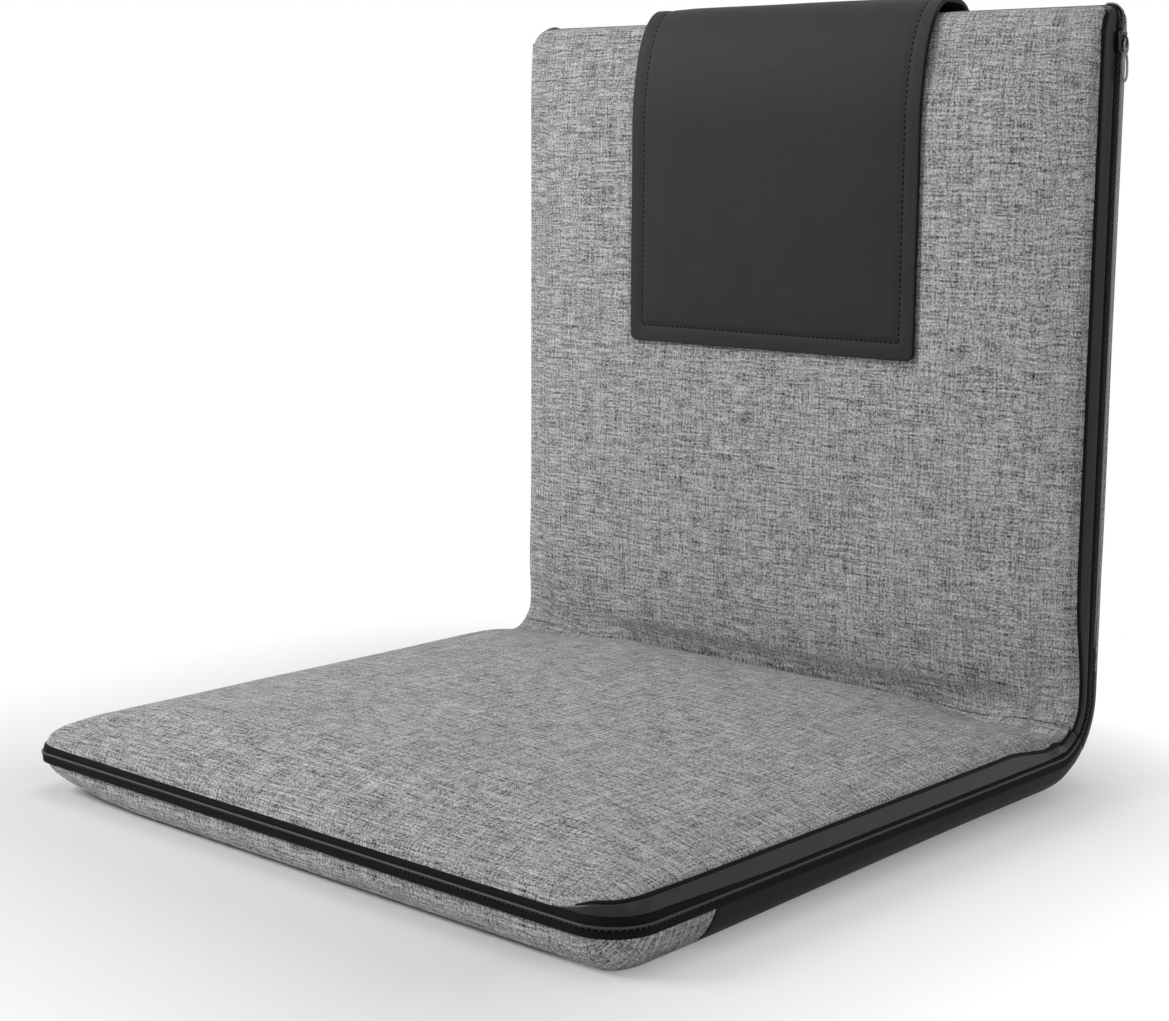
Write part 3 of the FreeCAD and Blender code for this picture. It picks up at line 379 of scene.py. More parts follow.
def swept_tube(around, along, shape):
    """A closed bar: its section runs with the first share, its line with the second."""
    bm = mapped_grid(around, along, shape)
    bmesh.ops.remove_doubles(bm, verts=bm.verts, dist=1e-6)
    bmesh.ops.holes_fill(bm, edges=bm.edges, sides=around)
    bmesh.ops.recalc_face_normals(bm, faces=bm.faces)
    return bm


def add_object(name, data):
    thing = bpy.data.objects.new(name, data)
    bpy.context.collection.objects.link(thing)
    return thing


def as_piece(bm, name, material, half=None):
    """An object at the origin, drawn in a half frame or in the row frame."""
    if half:
        bm.transform(TO_ROW[half["name"]])
    mesh = bpy.data.meshes.new(name)
    bm.to_mesh(mesh)
    bm.free()
    mesh.materials.append(material)
    mesh.shade_smooth()
    return add_object(name, mesh)


def add_modifier(piece, kind, **settings):
    modifier = piece.modifiers.new(kind.lower(), kind)
    set_all(modifier, **settings)
    return modifier


def settle(piece):
    """Make the mesh that the modifiers give the piece's own."""
    graph = bpy.context.evaluated_depsgraph_get()
    shaped = bpy.data.meshes.new_from_object(piece.evaluated_get(graph))
    piece.modifiers.clear()
    piece.data = shaped


def face_outward(bm):
    """Turn the faces of an outer cover away from the sitter."""
    bm.normal_update()
    bmesh.ops.recalc_face_normals(bm, faces=bm.faces)
    if sum(face.normal.z for face in bm.faces) > 0:
        bmesh.ops.reverse_faces(bm, faces=bm.faces)


def carry(piece, carrier, slot_name, *nodes):
    """Let a piece ride on a body, or bake its place into its mesh when a half carries it, and stand for CAD
    nodes.
    """
    if isinstance(carrier, str):
        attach(piece, carrier)
    if nodes:
        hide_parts(*nodes)
    if carrier is SEAT or carrier is BACK:
        follow_bend(piece, carrier)
    return piece


def follow_bend(piece, half):
    """Bake the place of a piece of one half into its mesh."""
    if half is SEAT:
        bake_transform(piece)
    else:
        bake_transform(piece)


# Padded halves. The saddle's sizes stand here too, because the back pad lies under it.

SADDLE_HALF = 107 * MM
SADDLE_WALL = 2.6 * MM
SADDLE_FRONT = 195 * MM
SADDLE_REAR = 198 * MM
SADDLE_FACE = 27.9 * MM
SADDLE_BACK = 24.9 * MM
SADDLE_RISE = 8.6 * MM
SADDLE_CURVE = 72.6 * MM
SADDLE_BROW = -BACK_LENGTH - SADDLE_RISE + SADDLE_CURVE
SADDLE_DROOP = 1.6 * MM
RISE_RUN = 62 * MM
SIDE_RISE_RUN = 46 * MM
LOWER_RUN = 12 * MM
WALL_HEIGHT = 12 * MM
EDGE_HEIGHT = 5 * MM
SHOULDER_HEIGHT = 20.6 * MM
SHOULDER_RUN = 29 * MM
BEND_SLOPE = 4 * MM
PAD_FLOOR = -7 * MM
PAD_FLOOR_BEND = -3 * MM
SWELL = 2.8 * MM
SWELL_LIMIT = 3.2 * MM
CREST_SHARE = 0.80
WALL_SHARE = 0.93
CREASE_END = BEND_ARC - BEND
CREASE_GAP = 0.1 * MM
CREASE_INNER = 150 * MM
CREASE_OUTER = 188 * MM
CREASE_EXTRA = 4.5 * MM
CREASE_LEAST = 4 * MM
CREASE_DIP = 10.5 * MM
CREASE_FULL = 2.5 * MM
SEAT_ROLL = 3 * MM
BACK_ROLL = 6.5 * MM
LINK_COVER = 9.8 * MM
PAD_GRID = (72, 80)
PAD_VOXEL = 4.4 * MM
PAD_WALL = 1.0 * MM
PAD_RUFFLE = 0.8 * MM
CLOTH_FRAMES = 20
CLOTH_SETTINGS = {
    "quality": 6,
    "mass": 0.3,
    "tension_stiffness": 12,
    "compression_stiffness": 12,
    "bending_stiffness": 0.6,
    "use_pressure": True,
    "uniform_pressure_force": 4,
    "vertex_group_mass": "sewn",
}


def corner_radius(half, x):
    return half["corners"][0 if x > 0 else 1]


def plan_half_width(half, x, distance):
    """Half width of a half at a distance from its free edge."""
    corner = corner_radius(half, x)
    return HALF_WIDTH - corner * (1 - swell(distance, corner))


def pad_heights(half, y):
    """Wall, shoulder and crest height of a pad, and the run of its rounded edge."""
    distance = y + half["length"]
    rise = swell(distance, RISE_RUN)
    side_rise = swell(distance, SIDE_RISE_RUN)
    fall = swell(-y - CREASE_HEIGHT, half["length"] / 3)
    crown = mix(fall, CREASE_HEIGHT, half["crown"])
    wall = mix(side_rise, EDGE_HEIGHT + 0.4 * MM, WALL_HEIGHT)
    shoulder = mix(side_rise, EDGE_HEIGHT + 1.6 * MM, SHOULDER_HEIGHT) - SWELL * 0.5 * rise
    crest = mix(rise, EDGE_HEIGHT + 2.8 * MM, crown) - SWELL * rise
    return wall, min(shoulder, crest), crest, SHOULDER_RUN * (0.3 + 0.7 * rise)


def side_slope(half, y, height):
    """How far the side of a half leans in at a height above the zip line."""
    slope = mix(ramp(y, -110 * MM, -40 * MM), half["slope"], BEND_SLOPE)
    return slope * max(height, 0.0) / WALL_HEIGHT


def pad_point(half, share, y):
    """A point of a pad's surface before the bend; share is -1 to 1 across."""
    wall, shoulder, crest, lean = pad_heights(half, y)
    side = plan_half_width(half, share, y + half["length"])
    part = abs(share)
    inner = side - lean - side_slope(half, y, wall) * 0.6
    if part < CREST_SHARE:
        out = part / CREST_SHARE
        x = inner * out
        z = crest - (crest - shoulder) * out * out
    elif part < WALL_SHARE:
        turn = (part - CREST_SHARE) / (WALL_SHARE - CREST_SHARE) * QUARTER
        x = inner + (side - side_slope(half, y, wall) - inner) * sin(turn)
        z = wall + (shoulder - wall) * cos(turn)
    else:
        z = mix((part - WALL_SHARE) / (1 - WALL_SHARE), wall, 0.0)
        x = side - side_slope(half, y, z)
    return Vector((copysign(x, share), y, shape_crease(half, x, y, z)))


def crease_dip(x, y, z):
    """Both pads sink towards the two ends of the crease."""
    across = ramp(x, 100 * MM, 168 * MM)
    return CREASE_DIP * across * bump(y, -14 * MM, 32 * MM) * ramp(z, 10 * MM, 22 * MM)


def shape_crease(half, x, y, z):
    """Height near the crease: a tight fold in the middle, one smooth curve at its ends."""
    middle = 1 - ramp(x, CREASE_INNER, CREASE_OUTER)
    z -= crease_dip(x, y, z)
    if half is BACK:
        z += CREASE_FULL * middle * bump(y, -44 * MM, 17 * MM)
    if y <= -BEND:
        return z
    turn = (y + BEND) / BEND
    share = turn / (pi / 4)
    roll = BACK_ROLL * share**3 if half is BACK else SEAT_ROLL * share**4
    folded = BEND - (BEND - z) / cos(turn) - roll
    least = mix(ramp(x, 150 * MM, 180 * MM), CREASE_LEAST, LINK_COVER)
    return max(mix(middle, z, folded), min(z, least))


def closed_pad(half):
    """The closed form that the simulation inflates, a little flatter than the pad."""
    start = -half["length"]
    run = CREASE_END + CREASE_EXTRA - start

    def shape(across, along):
        near = 1 - cos(along * QUARTER)
        return pad_point(half, across * 2 - 1, start + run * mix(along, near, along))

    bm = mapped_grid(*PAD_GRID, shape)
    lower = bmesh.ops.extrude_face_region(bm, geom=bm.faces[:])
    for vert in [item for item in lower["geom"] if isinstance(item, bmesh.types.BMVert)]:
        vert.co.z = mix(ramp(vert.co.y, -110 * MM, -60 * MM), PAD_FLOOR, PAD_FLOOR_BEND)
    for vert in bm.verts:
        vert.co = bent(vert.co)
    bmesh.ops.remove_doubles(bm, verts=bm.verts, dist=0.1 * MM)
    bmesh.ops.recalc_face_normals(bm, faces=bm.faces)
    return bm


def inflate(piece, half):
    """Swell a pad as cloth; its seams stay and no point moves past the limit."""
    before = [vert.co.copy() for vert in piece.data.vertices]
    sewn = piece.vertex_groups.new(name="sewn")
    for vert in piece.data.vertices:
        sewn.add([vert.index], seam_hold(half, vert.co), "REPLACE")
    cloth = add_modifier(piece, "CLOTH")
    set_all(cloth.settings, **CLOTH_SETTINGS)
    cloth.settings.effector_weights.gravity = 0
    set_all(cloth.point_cache, frame_start=1, frame_end=CLOTH_FRAMES)
    for number in range(1, CLOTH_FRAMES + 1):
        scene.frame_set(number)
    settle(piece)
    scene.frame_set(1)
    for vert, start in zip(piece.data.vertices, before):
        move = vert.co - start
        if move.length > 1e-7:
            vert.co = start + move * (SWELL_LIMIT * tanh(move.length / SWELL_LIMIT) / move.length)


def seam_hold(half, point):
    """1 where a pad is sewn or glued down, 0 where it is free to swell."""
    place = unbent(point)
    wall = pad_heights(half, min(place.y, -BEND))[0]
    low = 1 - ramp(place.z, wall * 0.9, wall + 5 * MM)
    inner = ramp(place.y, -BEND - 14 * MM, -BEND + 12 * MM)
    return max(low, inner)


def trim_pad(piece):
    """Open a pad below the zip line and keep it clear of the other half."""
    bm = bmesh.new()
    bm.from_mesh(piece.data)
    for vert in bm.verts:
        vert.co = unbent(vert.co)
    zip_line = {"plane_co": (0, 0, 0.3 * MM), "plane_no": (0, 0, 1), "clear_inner": True}
    crease = {"plane_co": (0, CREASE_END - CREASE_GAP, 0), "plane_no": (0, 1, 0), "clear_outer": True}
    for cut in (zip_line, crease):
        bmesh.ops.bisect_plane(bm, geom=bm.verts[:] + bm.edges[:] + bm.faces[:], **cut)
    for vert in bm.verts:
        vert.co = bent(vert.co)
    bm.to_mesh(piece.data)
    bm.free()


def lie_clear(point):
    """Keep a half's point on its own side of the crease plane."""
    over = point.y + point.z + CREASE_GAP
    if over > 0:
        point.y -= over / 2
        point.z -= over / 2


def saddle_room(y):
    """Height of the saddle's inner face over the back pad."""
    share = max(SADDLE_BROW - y, 0.0) / (SADDLE_CURVE - SADDLE_WALL)
    return (SADDLE_FACE - SADDLE_WALL) * sqrt(max(1 - share * share, 0.0))


def lie_under_saddle(point):
    """Keep the back pad below the saddle's inner face."""
    if point.y > -BACK_LENGTH + SADDLE_FRONT + 6 * MM:
        return
    part = min(abs(point.x) / SADDLE_HALF, 1.0)
    aside = max(abs(point.x) - SADDLE_HALF - 1 * MM, 0.0)
    room = saddle_room(point.y) - 0.7 * MM - SADDLE_DROOP * part**3 + aside * 0.8
    if point.z > room:
        point.z = room


def ruffle(point, amount):
    """A small uneven lift, as of used foam."""
    wide = noise.noise(point * 11.0)
    fine = noise.noise(point * 34.0 + Vector((5.0, 2.0, 9.0)))
    return amount * (wide * 0.7 + fine * 0.3)


# The back's cloth is cut from another place of the weave than the seat's.
WEAVE_SHIFT = 0.31
FOLD_FULL = 0.2


def mark_weave(piece, half, full_height):
    """Store where each point lies in the flat cloth, with the sides folded outward."""
    flat = piece.data.attributes.new("weave", "FLOAT_VECTOR", "POINT")
    shift = WEAVE_SHIFT if half is BACK else 0.0
    for vert in piece.data.vertices:
        place = unbent(vert.co)
        drop = max(0.0, full_height - abs(place.z))
        beside = max(1 - (HALF_WIDTH - abs(place.x)) / SHOULDER_RUN, 0.0)
        before = max(1 - (place.y + half["length"]) / RISE_RUN, 0.0)
        outward = Vector((copysign(beside, place.x), -before))
        outward /= max(outward.length, FOLD_FULL)
        across = place.x + drop * outward.x
        along = place.y + drop * outward.y - drop * 0.5 * (1 - outward.length)
        flat.data[vert.index].vector = (across + shift, along + shift, 0)


def finish_cloth(piece, half, wall, full_height):
    """Give a cover its thickness and weave, and set it in the row."""
    add_modifier(piece, "SOLIDIFY", thickness=wall, offset=-1)
    settle(piece)
    mark_weave(piece, half, full_height)
    piece.data.transform(TO_ROW[half["name"]])
    piece.data.shade_smooth()


def padded_half(half, name, *nodes):
    """The crowned fabric pad of a half."""
    piece = as_piece(closed_pad(half), name, FABRIC)
    add_modifier(piece, "REMESH", mode="VOXEL", voxel_size=PAD_VOXEL, use_smooth_shade=True)
    settle(piece)
    inflate(piece, half)
    trim_pad(piece)
    add_modifier(piece, "SUBSURF", levels=1, render_levels=1)
    settle(piece)
    outward = [vert.normal.copy() for vert in piece.data.vertices]
    for vert, normal in zip(piece.data.vertices, outward):
        place = unbent(vert.co)
        free = ramp(place.z, 10 * MM, 20 * MM)
        vert.co += normal * ruffle(vert.co, PAD_RUFFLE) * free
        lie_clear(vert.co)
        if half is BACK:
            lie_under_saddle(vert.co)
    finish_cloth(piece, half, PAD_WALL, SHOULDER_HEIGHT)
    carry(piece, half, "grey_fabric", *nodes)


padded_half(SEAT, "seat_pad", "seat_top_cover", "seat_cushion_foam", "seat_core_foam", "seat_bend_foam")
padded_half(BACK, "back_pad", "back_front_cover", "back_cushion_foam", "back_core_foam", "back_bend_foam")


# Lower shell, rear cover and base

FRONT_SEAM = -SEAT_LENGTH + 68 * MM
REAR_SEAM = -44 * MM
COVER_WALL = 1.3 * MM
SHELL_WALL_SHARE = 0.06
SHELL_ROUND_SHARE = 0.18
SHELL_ACROSS = 90
SHELL_RUFFLE = 0.7 * MM
SEAM_SLANT = 11 * MM
BEND_END = CREASE_END - CREASE_GAP


def shell_lean(half, distance):
    """Width of the shell's rounded side edge, slim at the seat's front."""
    rise = 0.35 + 0.65 * swell(distance, LOWER_RUN)
    if half is BACK:
        return 22 * MM * rise
    return mix(ramp(distance, 40 * MM, 320 * MM), 11 * MM, 22 * MM) * rise


def corner_lift(half, x, side, distance):
    """The seat's slack front corner, which hangs less low than the rest."""
    if half is BACK or x > 0:
        return 0.0
    inward = 1 - swell(side + x, 95 * MM)
    return 0.7 * inward * (1 - ramp(distance, 0.0, 110 * MM))


def shell_point(half, share, y):
    """A point of the outer shell before the bend; share is -1 to 1 across."""
    distance = y + half["length"]
    depth = mix(swell(distance, LOWER_RUN), EDGE_HEIGHT, SHELL_DEPTH)
    side = plan_half_width(half, share, distance)
    lean = shell_lean(half, distance)
    out = 1 - abs(share)
    if out < SHELL_WALL_SHARE:
        x = side
        z = -0.25 * depth * out / SHELL_WALL_SHARE
    elif out < SHELL_ROUND_SHARE:
        turn = (out - SHELL_WALL_SHARE) / (SHELL_ROUND_SHARE - SHELL_WALL_SHARE) * QUARTER
        x = side - lean * (1 - cos(turn))
        z = -0.25 * depth - 0.75 * depth * sin(turn)
    else:
        x = (side - lean) * (1 - out) / (1 - SHELL_ROUND_SHARE)
        z = -depth
    x = copysign(x, share)
    return Vector((x, y, z * (1 - corner_lift(half, x, side, distance))))


def shell_piece(half, name, material, start, end, along, free_edge=False, slants=(0, 0)):
    """A cover of the outer shell between two places along a half; slants tilt its end seams."""

    def shape(across, length):
        if free_edge:
            length = mix(0.7, length, 1 - cos(length * QUARTER))
        share = across * 2 - 1
        slant = mix(length, *slants) * SEAM_SLANT * ramp(1 - abs(share), 0.0, SHELL_ROUND_SHARE)
        point = shell_point(half, share, mix(length, start, end) - slant)
        if half is BACK:
            point.z += ruffle(point, SHELL_RUFFLE) * ramp(-point.z, 2 * MM, 8 * MM)
        return bent(point)

    bm = mapped_grid(SHELL_ACROSS, along, shape)
    bmesh.ops.remove_doubles(bm, verts=bm.verts, dist=1e-6)
    face_outward(bm)
    piece = as_piece(bm, name, material)
    finish_cloth(piece, half, COVER_WALL, SHELL_DEPTH)
    return piece


lower_span = (-SEAT_LENGTH, FRONT_SEAM)
lower = shell_piece(SEAT, "seat_lower_fabric", FABRIC, *lower_span, 26, free_edge=True, slants=(0, 1))
carry(lower, "seat", "grey_fabric", "seat_lower_cover")

seat_base = shell_piece(SEAT, "seat_base_leather", BASE_LEATHER, FRONT_SEAM, BEND_END, 90, slants=(1, 0))
carry(seat_base, SEAT, "base_leather", "seat_base_panel", "seat_base_foam")

rear = shell_piece(BACK, "back_rear_fabric", FABRIC, -BACK_LENGTH, REAR_SEAM, 110, free_edge=True)
carry(rear, BACK, "grey_fabric", "back_rear_cover", "back_rear_foam")

back_base = shell_piece(BACK, "back_base_leather", BASE_LEATHER, REAR_SEAM, BEND_END, 20)
carry(back_base, BACK, "base_leather", "back_base_panel")


# Zip and boxing bands

TRIM_WALL = 1.2 * MM
TRIM_BACK = -0.4 * MM
TAPE_GAP = 0.7 * MM
TAPE_HIGH = 4.8 * MM
TOOTH_PITCH = 1.45 * MM
BAND_LOW = 2.4 * MM
BAND_LEAD = 52 * MM
BAND_DELAY = 62 * MM
# Where the pale strip of painted reflection stops short of the bend.
PAINTED_REFLECTION_STOP = 52 * MM
PAINTED_REFLECTION_FOOT = -BEND - PAINTED_REFLECTION_STOP + BEND_ARC
RIM_STEP = 1.9 * MM
RIM_AROUND = 16
BAR_SQUARE = 0.55


def rim_start(half, side):
    """Rim length from the middle of the free edge to the straight side."""
    corner = corner_radius(half, side)
    return HALF_WIDTH - corner + corner * QUARTER


def rim_end(half, side):
    """Rim length from the middle of the free edge to the crease plane."""
    straight = half["length"] - corner_radius(half, side) - BEND + BEND_ARC - 0.15 * MM
    return rim_start(half, side) + straight


def rim_place(half, length):
    """How far a rim place is past the round corner, and its y before the bend."""
    past = abs(length) - rim_start(half, length)
    return past, past + corner_radius(half, length) - half["length"]


def rim_point(half, length, out, height):
    """A point by the zip, at a length along the rim, an offset and a height."""
    corner = corner_radius(half, length)
    front = HALF_WIDTH - corner
    turn = (abs(length) - front) / corner
    out -= side_slope(half, rim_place(half, length)[1], height)
    if turn <= 0:
        x = abs(length)
        y = -half["length"] - out
    elif turn < QUARTER:
        x = front + (corner + out) * sin(turn)
        y = -half["length"] + corner - (corner + out) * cos(turn)
    else:
        x = HALF_WIDTH + out
        y = rim_place(half, length)[1]
    return bent(Vector((copysign(x, length), y, height)))


def round_bar(share, low, high, inner, outer):
    """Offset and height of a point on a bar's rounded section."""
    c = cos(share * TURN)
    s = sin(share * TURN)
    out = (inner + outer) / 2 + (outer - inner) / 2 * copysign(abs(c) ** BAR_SQUARE, c)
    height = (low + high) / 2 + (high - low) / 2 * copysign(abs(s) ** BAR_SQUARE, s)
    return out, height


def rim_piece(half, name, material, slot_name, node, start, end, section):
    """A strip along a rim; its section gives low, high, inner and outer at a place."""

    def shape(around, share):
        length = mix(share, start, end)
        return rim_point(half, length, *round_bar(around, *section(*rim_place(half, length))))

    along = int(abs(end - start) / RIM_STEP)
    strip = as_piece(swept_tube(RIM_AROUND, along, shape), name, material, half)
    carry(strip, half, slot_name, *([node] if node else []))


def tape_top(past):
    return mix(ramp(past, -14 * MM, 90 * MM), TAPE_HIGH, BAND_LOW)


def seat_upper_tape(past, y):
    return TAPE_GAP, tape_top(past), TRIM_BACK, TRIM_WALL


def even_section(*edges):
    """The section of a strip that is the same all along."""
    return lambda past, y: edges


back_upper_tape = even_section(TAPE_GAP, BAND_LOW, TRIM_BACK, TRIM_WALL)
lower_tape = even_section(-TAPE_HIGH, -TAPE_GAP, TRIM_BACK, TRIM_WALL)
upper_piping = even_section(0.1 * MM, 1.1 * MM, 0.3 * MM, 1.9 * MM)
# The piping sewn in along the back's top edge.
top_piping = even_section(-1.5 * MM, 1.5 * MM, -2.4 * MM, 0.6 * MM)


def back_painted_reflection(past, y):
    """The pale strip beside the back's zip, a painted reflection of the white surroundings, narrower
    towards the bend.
    """
    tall = mix(ramp(y, -330 * MM, -90 * MM), 2.8 * MM, 0.9 * MM)
    tall *= ramp(past, -2 * MM, 16 * MM) * (1 - ramp(y, -90 * MM, PAINTED_REFLECTION_FOOT))
    return -1.8 * MM - tall, -1.6 * MM, 0.4 * MM, TRIM_WALL + 0.7 * MM


def buckle(y):
    """The small fold of the stiff band where it turns into the bend."""
    return bump(y, -30 * MM, 6 * MM)


def band_span(half, past, y, delay=0.0):
    """Lower and upper edge of a glossy band, slim at its start and at the bend."""
    if half is SEAT:
        later = past - delay
        tall = 0.4 * MM + 4.8 * MM * ramp(later, -BAND_LEAD, -26 * MM)
        tall += 1.4 * MM * ramp(later, -26 * MM, 0.0) + 2.0 * MM * ramp(later, 0.0, 90 * MM)
        low = tape_top(past) + 1.6 * MM * buckle(y)
    else:
        tall = 0.8 * MM + 4.7 * MM * ramp(past, -20 * MM, 10 * MM)
        low = BAND_LOW
    tall *= 1 - 0.5 * ramp(y, -80 * MM, -34 * MM)
    return low - 0.1 * MM, low + tall


def band(half, delay=0.0):
    """The section of a glossy band; one starts later, at the slack corner."""

    def section(past, y):
        low, high = band_span(half, past, y, delay)
        if half is BACK:
            return low, high, -0.6 * MM, TRIM_WALL * 1.2
        return low, high, -0.6 * MM, TRIM_WALL * 1.1 + 1.1 * MM * buckle(y)

    return section


def welt_shade(half, delay=0.0):
    """The sunk black seam between a band and the pad's cloth, near black also as painted shade in the seam.
    """

    def section(past, y):
        high = band_span(half, past, y, delay)[1]
        tall = 1.5 * MM
        if half is SEAT:
            tall *= ramp(past - delay, -54 * MM, -24 * MM)
        return high - 0.4 * MM, high - 0.1 * MM + tall, -1.0 * MM, 0.7 * MM

    return section


BEAD_BATCH = 40


def small_beads(places, name, material, half, rings=4, sides=6):
    """Many small rounded bits in one piece, each set by its own matrix."""
    bm = bmesh.new()
    for first in range(0, len(places), BEAD_BATCH):
        part = bmesh.new()
        for place in places[first:first + BEAD_BATCH]:
            bmesh.ops.create_uvsphere(part, u_segments=sides, v_segments=rings, radius=1, matrix=place)
        mesh = bpy.data.meshes.new("batch")
        part.to_mesh(mesh)
        part.free()
        bm.from_mesh(mesh)
        bpy.data.meshes.remove(mesh)
    return as_piece(bm, name, material, half)


def set_axes(middle, first, second, third):
    """The matrix that puts a unit ball at a place with three half axes."""
    return Matrix.Translation(middle) @ Matrix((first, second, third)).transposed().to_4x4()


def zip_teeth(half, name, spans):
    """The zip's coil: small rounded loops, one by one, from both tapes."""
    places = []
    for first, last in spans:
        count = int(abs(last - first) / TOOTH_PITCH)
        for number in range(count):
            length = first + (number + 0.5) * (last - first) / count
            lift = 0.28 * MM if number % 2 else -0.28 * MM
            middle = rim_point(half, length, 0.8 * MM, lift)
            ahead = (rim_point(half, length + 0.1 * MM, 0.8 * MM, lift) - middle).normalized()
            off = (rim_point(half, length, 0.9 * MM, lift) - middle).normalized()
            across = ahead.cross(off)
            places.append(set_axes(middle, ahead * 0.62 * MM, off * 0.95 * MM, across * 0.95 * MM))
    return small_beads(places, name, TEETH, half)


rim = (-rim_end(SEAT, -1), rim_end(SEAT, 1))
rim_piece(SEAT, "seat_upper_zip_tape", TAPE, "zip_tape", "seat_zip_upper_tape", *rim, seat_upper_tape)
rim_piece(SEAT, "seat_lower_zip_tape", TAPE, "zip_tape", "seat_zip_lower_tape", *rim, lower_tape)
rim_piece(SEAT, "seat_zip_piping", PIPING, "zip_tape", None, *rim, upper_piping)
carry(zip_teeth(SEAT, "seat_zip_coil", [rim]), SEAT, "zip_teeth", "seat_zip_teeth")
back_rims = [(sign * rim_start(BACK, sign), sign * rim_end(BACK, sign)) for sign in (1, -1)]
carry(zip_teeth(BACK, "back_zip_coil", back_rims), BACK, "zip_teeth", "back_zip_teeth")

# A side's first name is the CAD's for the seat, its second is the CAD's for the back.
for sign, first, second in ((1, "left", "right"), (-1, "right", "left")):
    delay = 0.0 if sign > 0 else BAND_DELAY
    rim = (sign * (rim_start(SEAT, sign) - BAND_LEAD + delay), sign * rim_end(SEAT, sign))
    node = f"seat_band_{first}"
    rim_piece(SEAT, f"seat_boxing_{first}", BAND_VINYL, "gloss_band", node, *rim, band(SEAT, delay))
    # The welt is a seam cord that is near black also as painted shade in the seam.
    rim_piece(SEAT, f"seat_welt_{first}", SEAM_CORD_SHADE, "gloss_band", None, *rim, welt_shade(SEAT, delay))
    top = HALF_WIDTH - corner_radius(BACK, sign)
    rim = (sign * (top - 3 * MM), sign * rim_end(BACK, sign))
    for part, material, slot_name, node, section in (
        ("boxing", BAND_VINYL, "gloss_band", f"back_band_{second}", band(BACK)),
        ("welt_shade", SEAM_CORD_SHADE, "gloss_band", None, welt_shade(BACK)),
        ("front_tape", TAPE, "zip_tape", "back_zip_front_tape", back_upper_tape),
        ("rear_tape", TAPE, "zip_tape", "back_zip_rear_tape", lower_tape),
    ):
        rim_piece(BACK, f"back_{part}_{second}", material, slot_name, node, *rim, section)
    # A pale strip of painted reflection beside the back's zip, ending before the bend.
    rim = (rim[0], sign * (rim_end(BACK, sign) - PAINTED_REFLECTION_STOP))
    rim_piece(BACK, f"back_painted_reflection_{second}", PAINTED_REFLECTION, "gloss_band", None, *rim, back_painted_reflection)
rim = (corner_radius(BACK, -1) - HALF_WIDTH - 3 * MM, HALF_WIDTH - corner_radius(BACK, 1) + 4 * MM)
rim_piece(BACK, "back_top_piping", PIPING, "zip_tape", None, *rim, top_piping)


# Leather saddle

SADDLE_ROUND = 15.6 * MM
SADDLE_CORNER = 4 * MM
SADDLE_GRID = (110, 260)
CREST_STEPS = 60
REAR_STEPS = 24
STITCH_INSET = 10 * MM
STITCH_PITCH = 3.4 * MM


def saddle_outline():
    """Places on the saddle's outer face, from the front hem to the rear hem."""
    crest = -BACK_LENGTH - SADDLE_RISE
    places = [(-BACK_LENGTH + SADDLE_FRONT, SADDLE_FACE)]
    for step in range(CREST_STEPS + 1):
        turn = QUARTER * step / CREST_STEPS
        places.append((SADDLE_BROW - SADDLE_CURVE * sin(turn), SADDLE_FACE * cos(turn)))
    for step in range(REAR_STEPS + 1):
        turn = QUARTER * step / REAR_STEPS
        y = crest + SADDLE_ROUND * (1 - cos(turn))
        places.append((y, -SADDLE_BACK + SADDLE_ROUND * (1 - sin(turn))))
    places.append((-BACK_LENGTH + SADDLE_REAR, -SADDLE_BACK))
    return places


def measured(places):
    """Places with their length from the first one."""
    rows = [(0.0, *places[0])]
    for y, z in places[1:]:
        length, before_y, before_z = rows[-1]
        rows.append((length + hypot(y - before_y, z - before_z), y, z))
    return rows


SADDLE_ROWS = measured(saddle_outline())
SADDLE_STARTS = [row[0] for row in SADDLE_ROWS]
SADDLE_TOTAL = SADDLE_STARTS[-1]


def saddle_place(length):
    """The y and z at a length from the front hem."""
    number = min(max(bisect.bisect_right(SADDLE_STARTS, length), 1), len(SADDLE_ROWS) - 1)
    first = SADDLE_ROWS[number - 1]
    last = SADDLE_ROWS[number]
    share = (length - first[0]) / (last[0] - first[0])
    return mix(share, first[1], last[1]), mix(share, first[2], last[2])


def saddle_line(length):
    """The y and z of the outer face at a length, and of its outward way."""
    y, z = saddle_place(length)
    ahead_y, ahead_z = saddle_place(length + 1 * MM)
    behind_y, behind_z = saddle_place(length - 1 * MM)
    run = hypot(ahead_y - behind_y, ahead_z - behind_z)
    return y, z, (ahead_z - behind_z) / run, (behind_y - ahead_y) / run


def saddle_point(x, length, out=0.0):
    """A point on the saddle's outer face, with the leather's own soft shape."""
    y, z, out_y, out_z = saddle_line(length)
    edge = min(SADDLE_HALF - abs(x), length, SADDLE_TOTAL - length)
    pillow = 0.55 * MM * ramp(edge, STITCH_INSET, STITCH_INSET + 22 * MM)
    seam = -0.7 * MM * bump(edge, STITCH_INSET, 1.6 * MM)
    front = 1.0 if length < SADDLE_TOTAL / 2 else 0.4
    droop = -SADDLE_DROOP * front * (abs(x) / SADDLE_HALF) ** 3
    wave = 0.35 * MM * noise.noise(Vector((x * 16, length * 14, 2.0)))
    lift = out + pillow + seam + droop * (1 - ramp(length, 150 * MM, 200 * MM)) + wave
    return Vector((x, y + out_y * lift, z + out_z * lift))


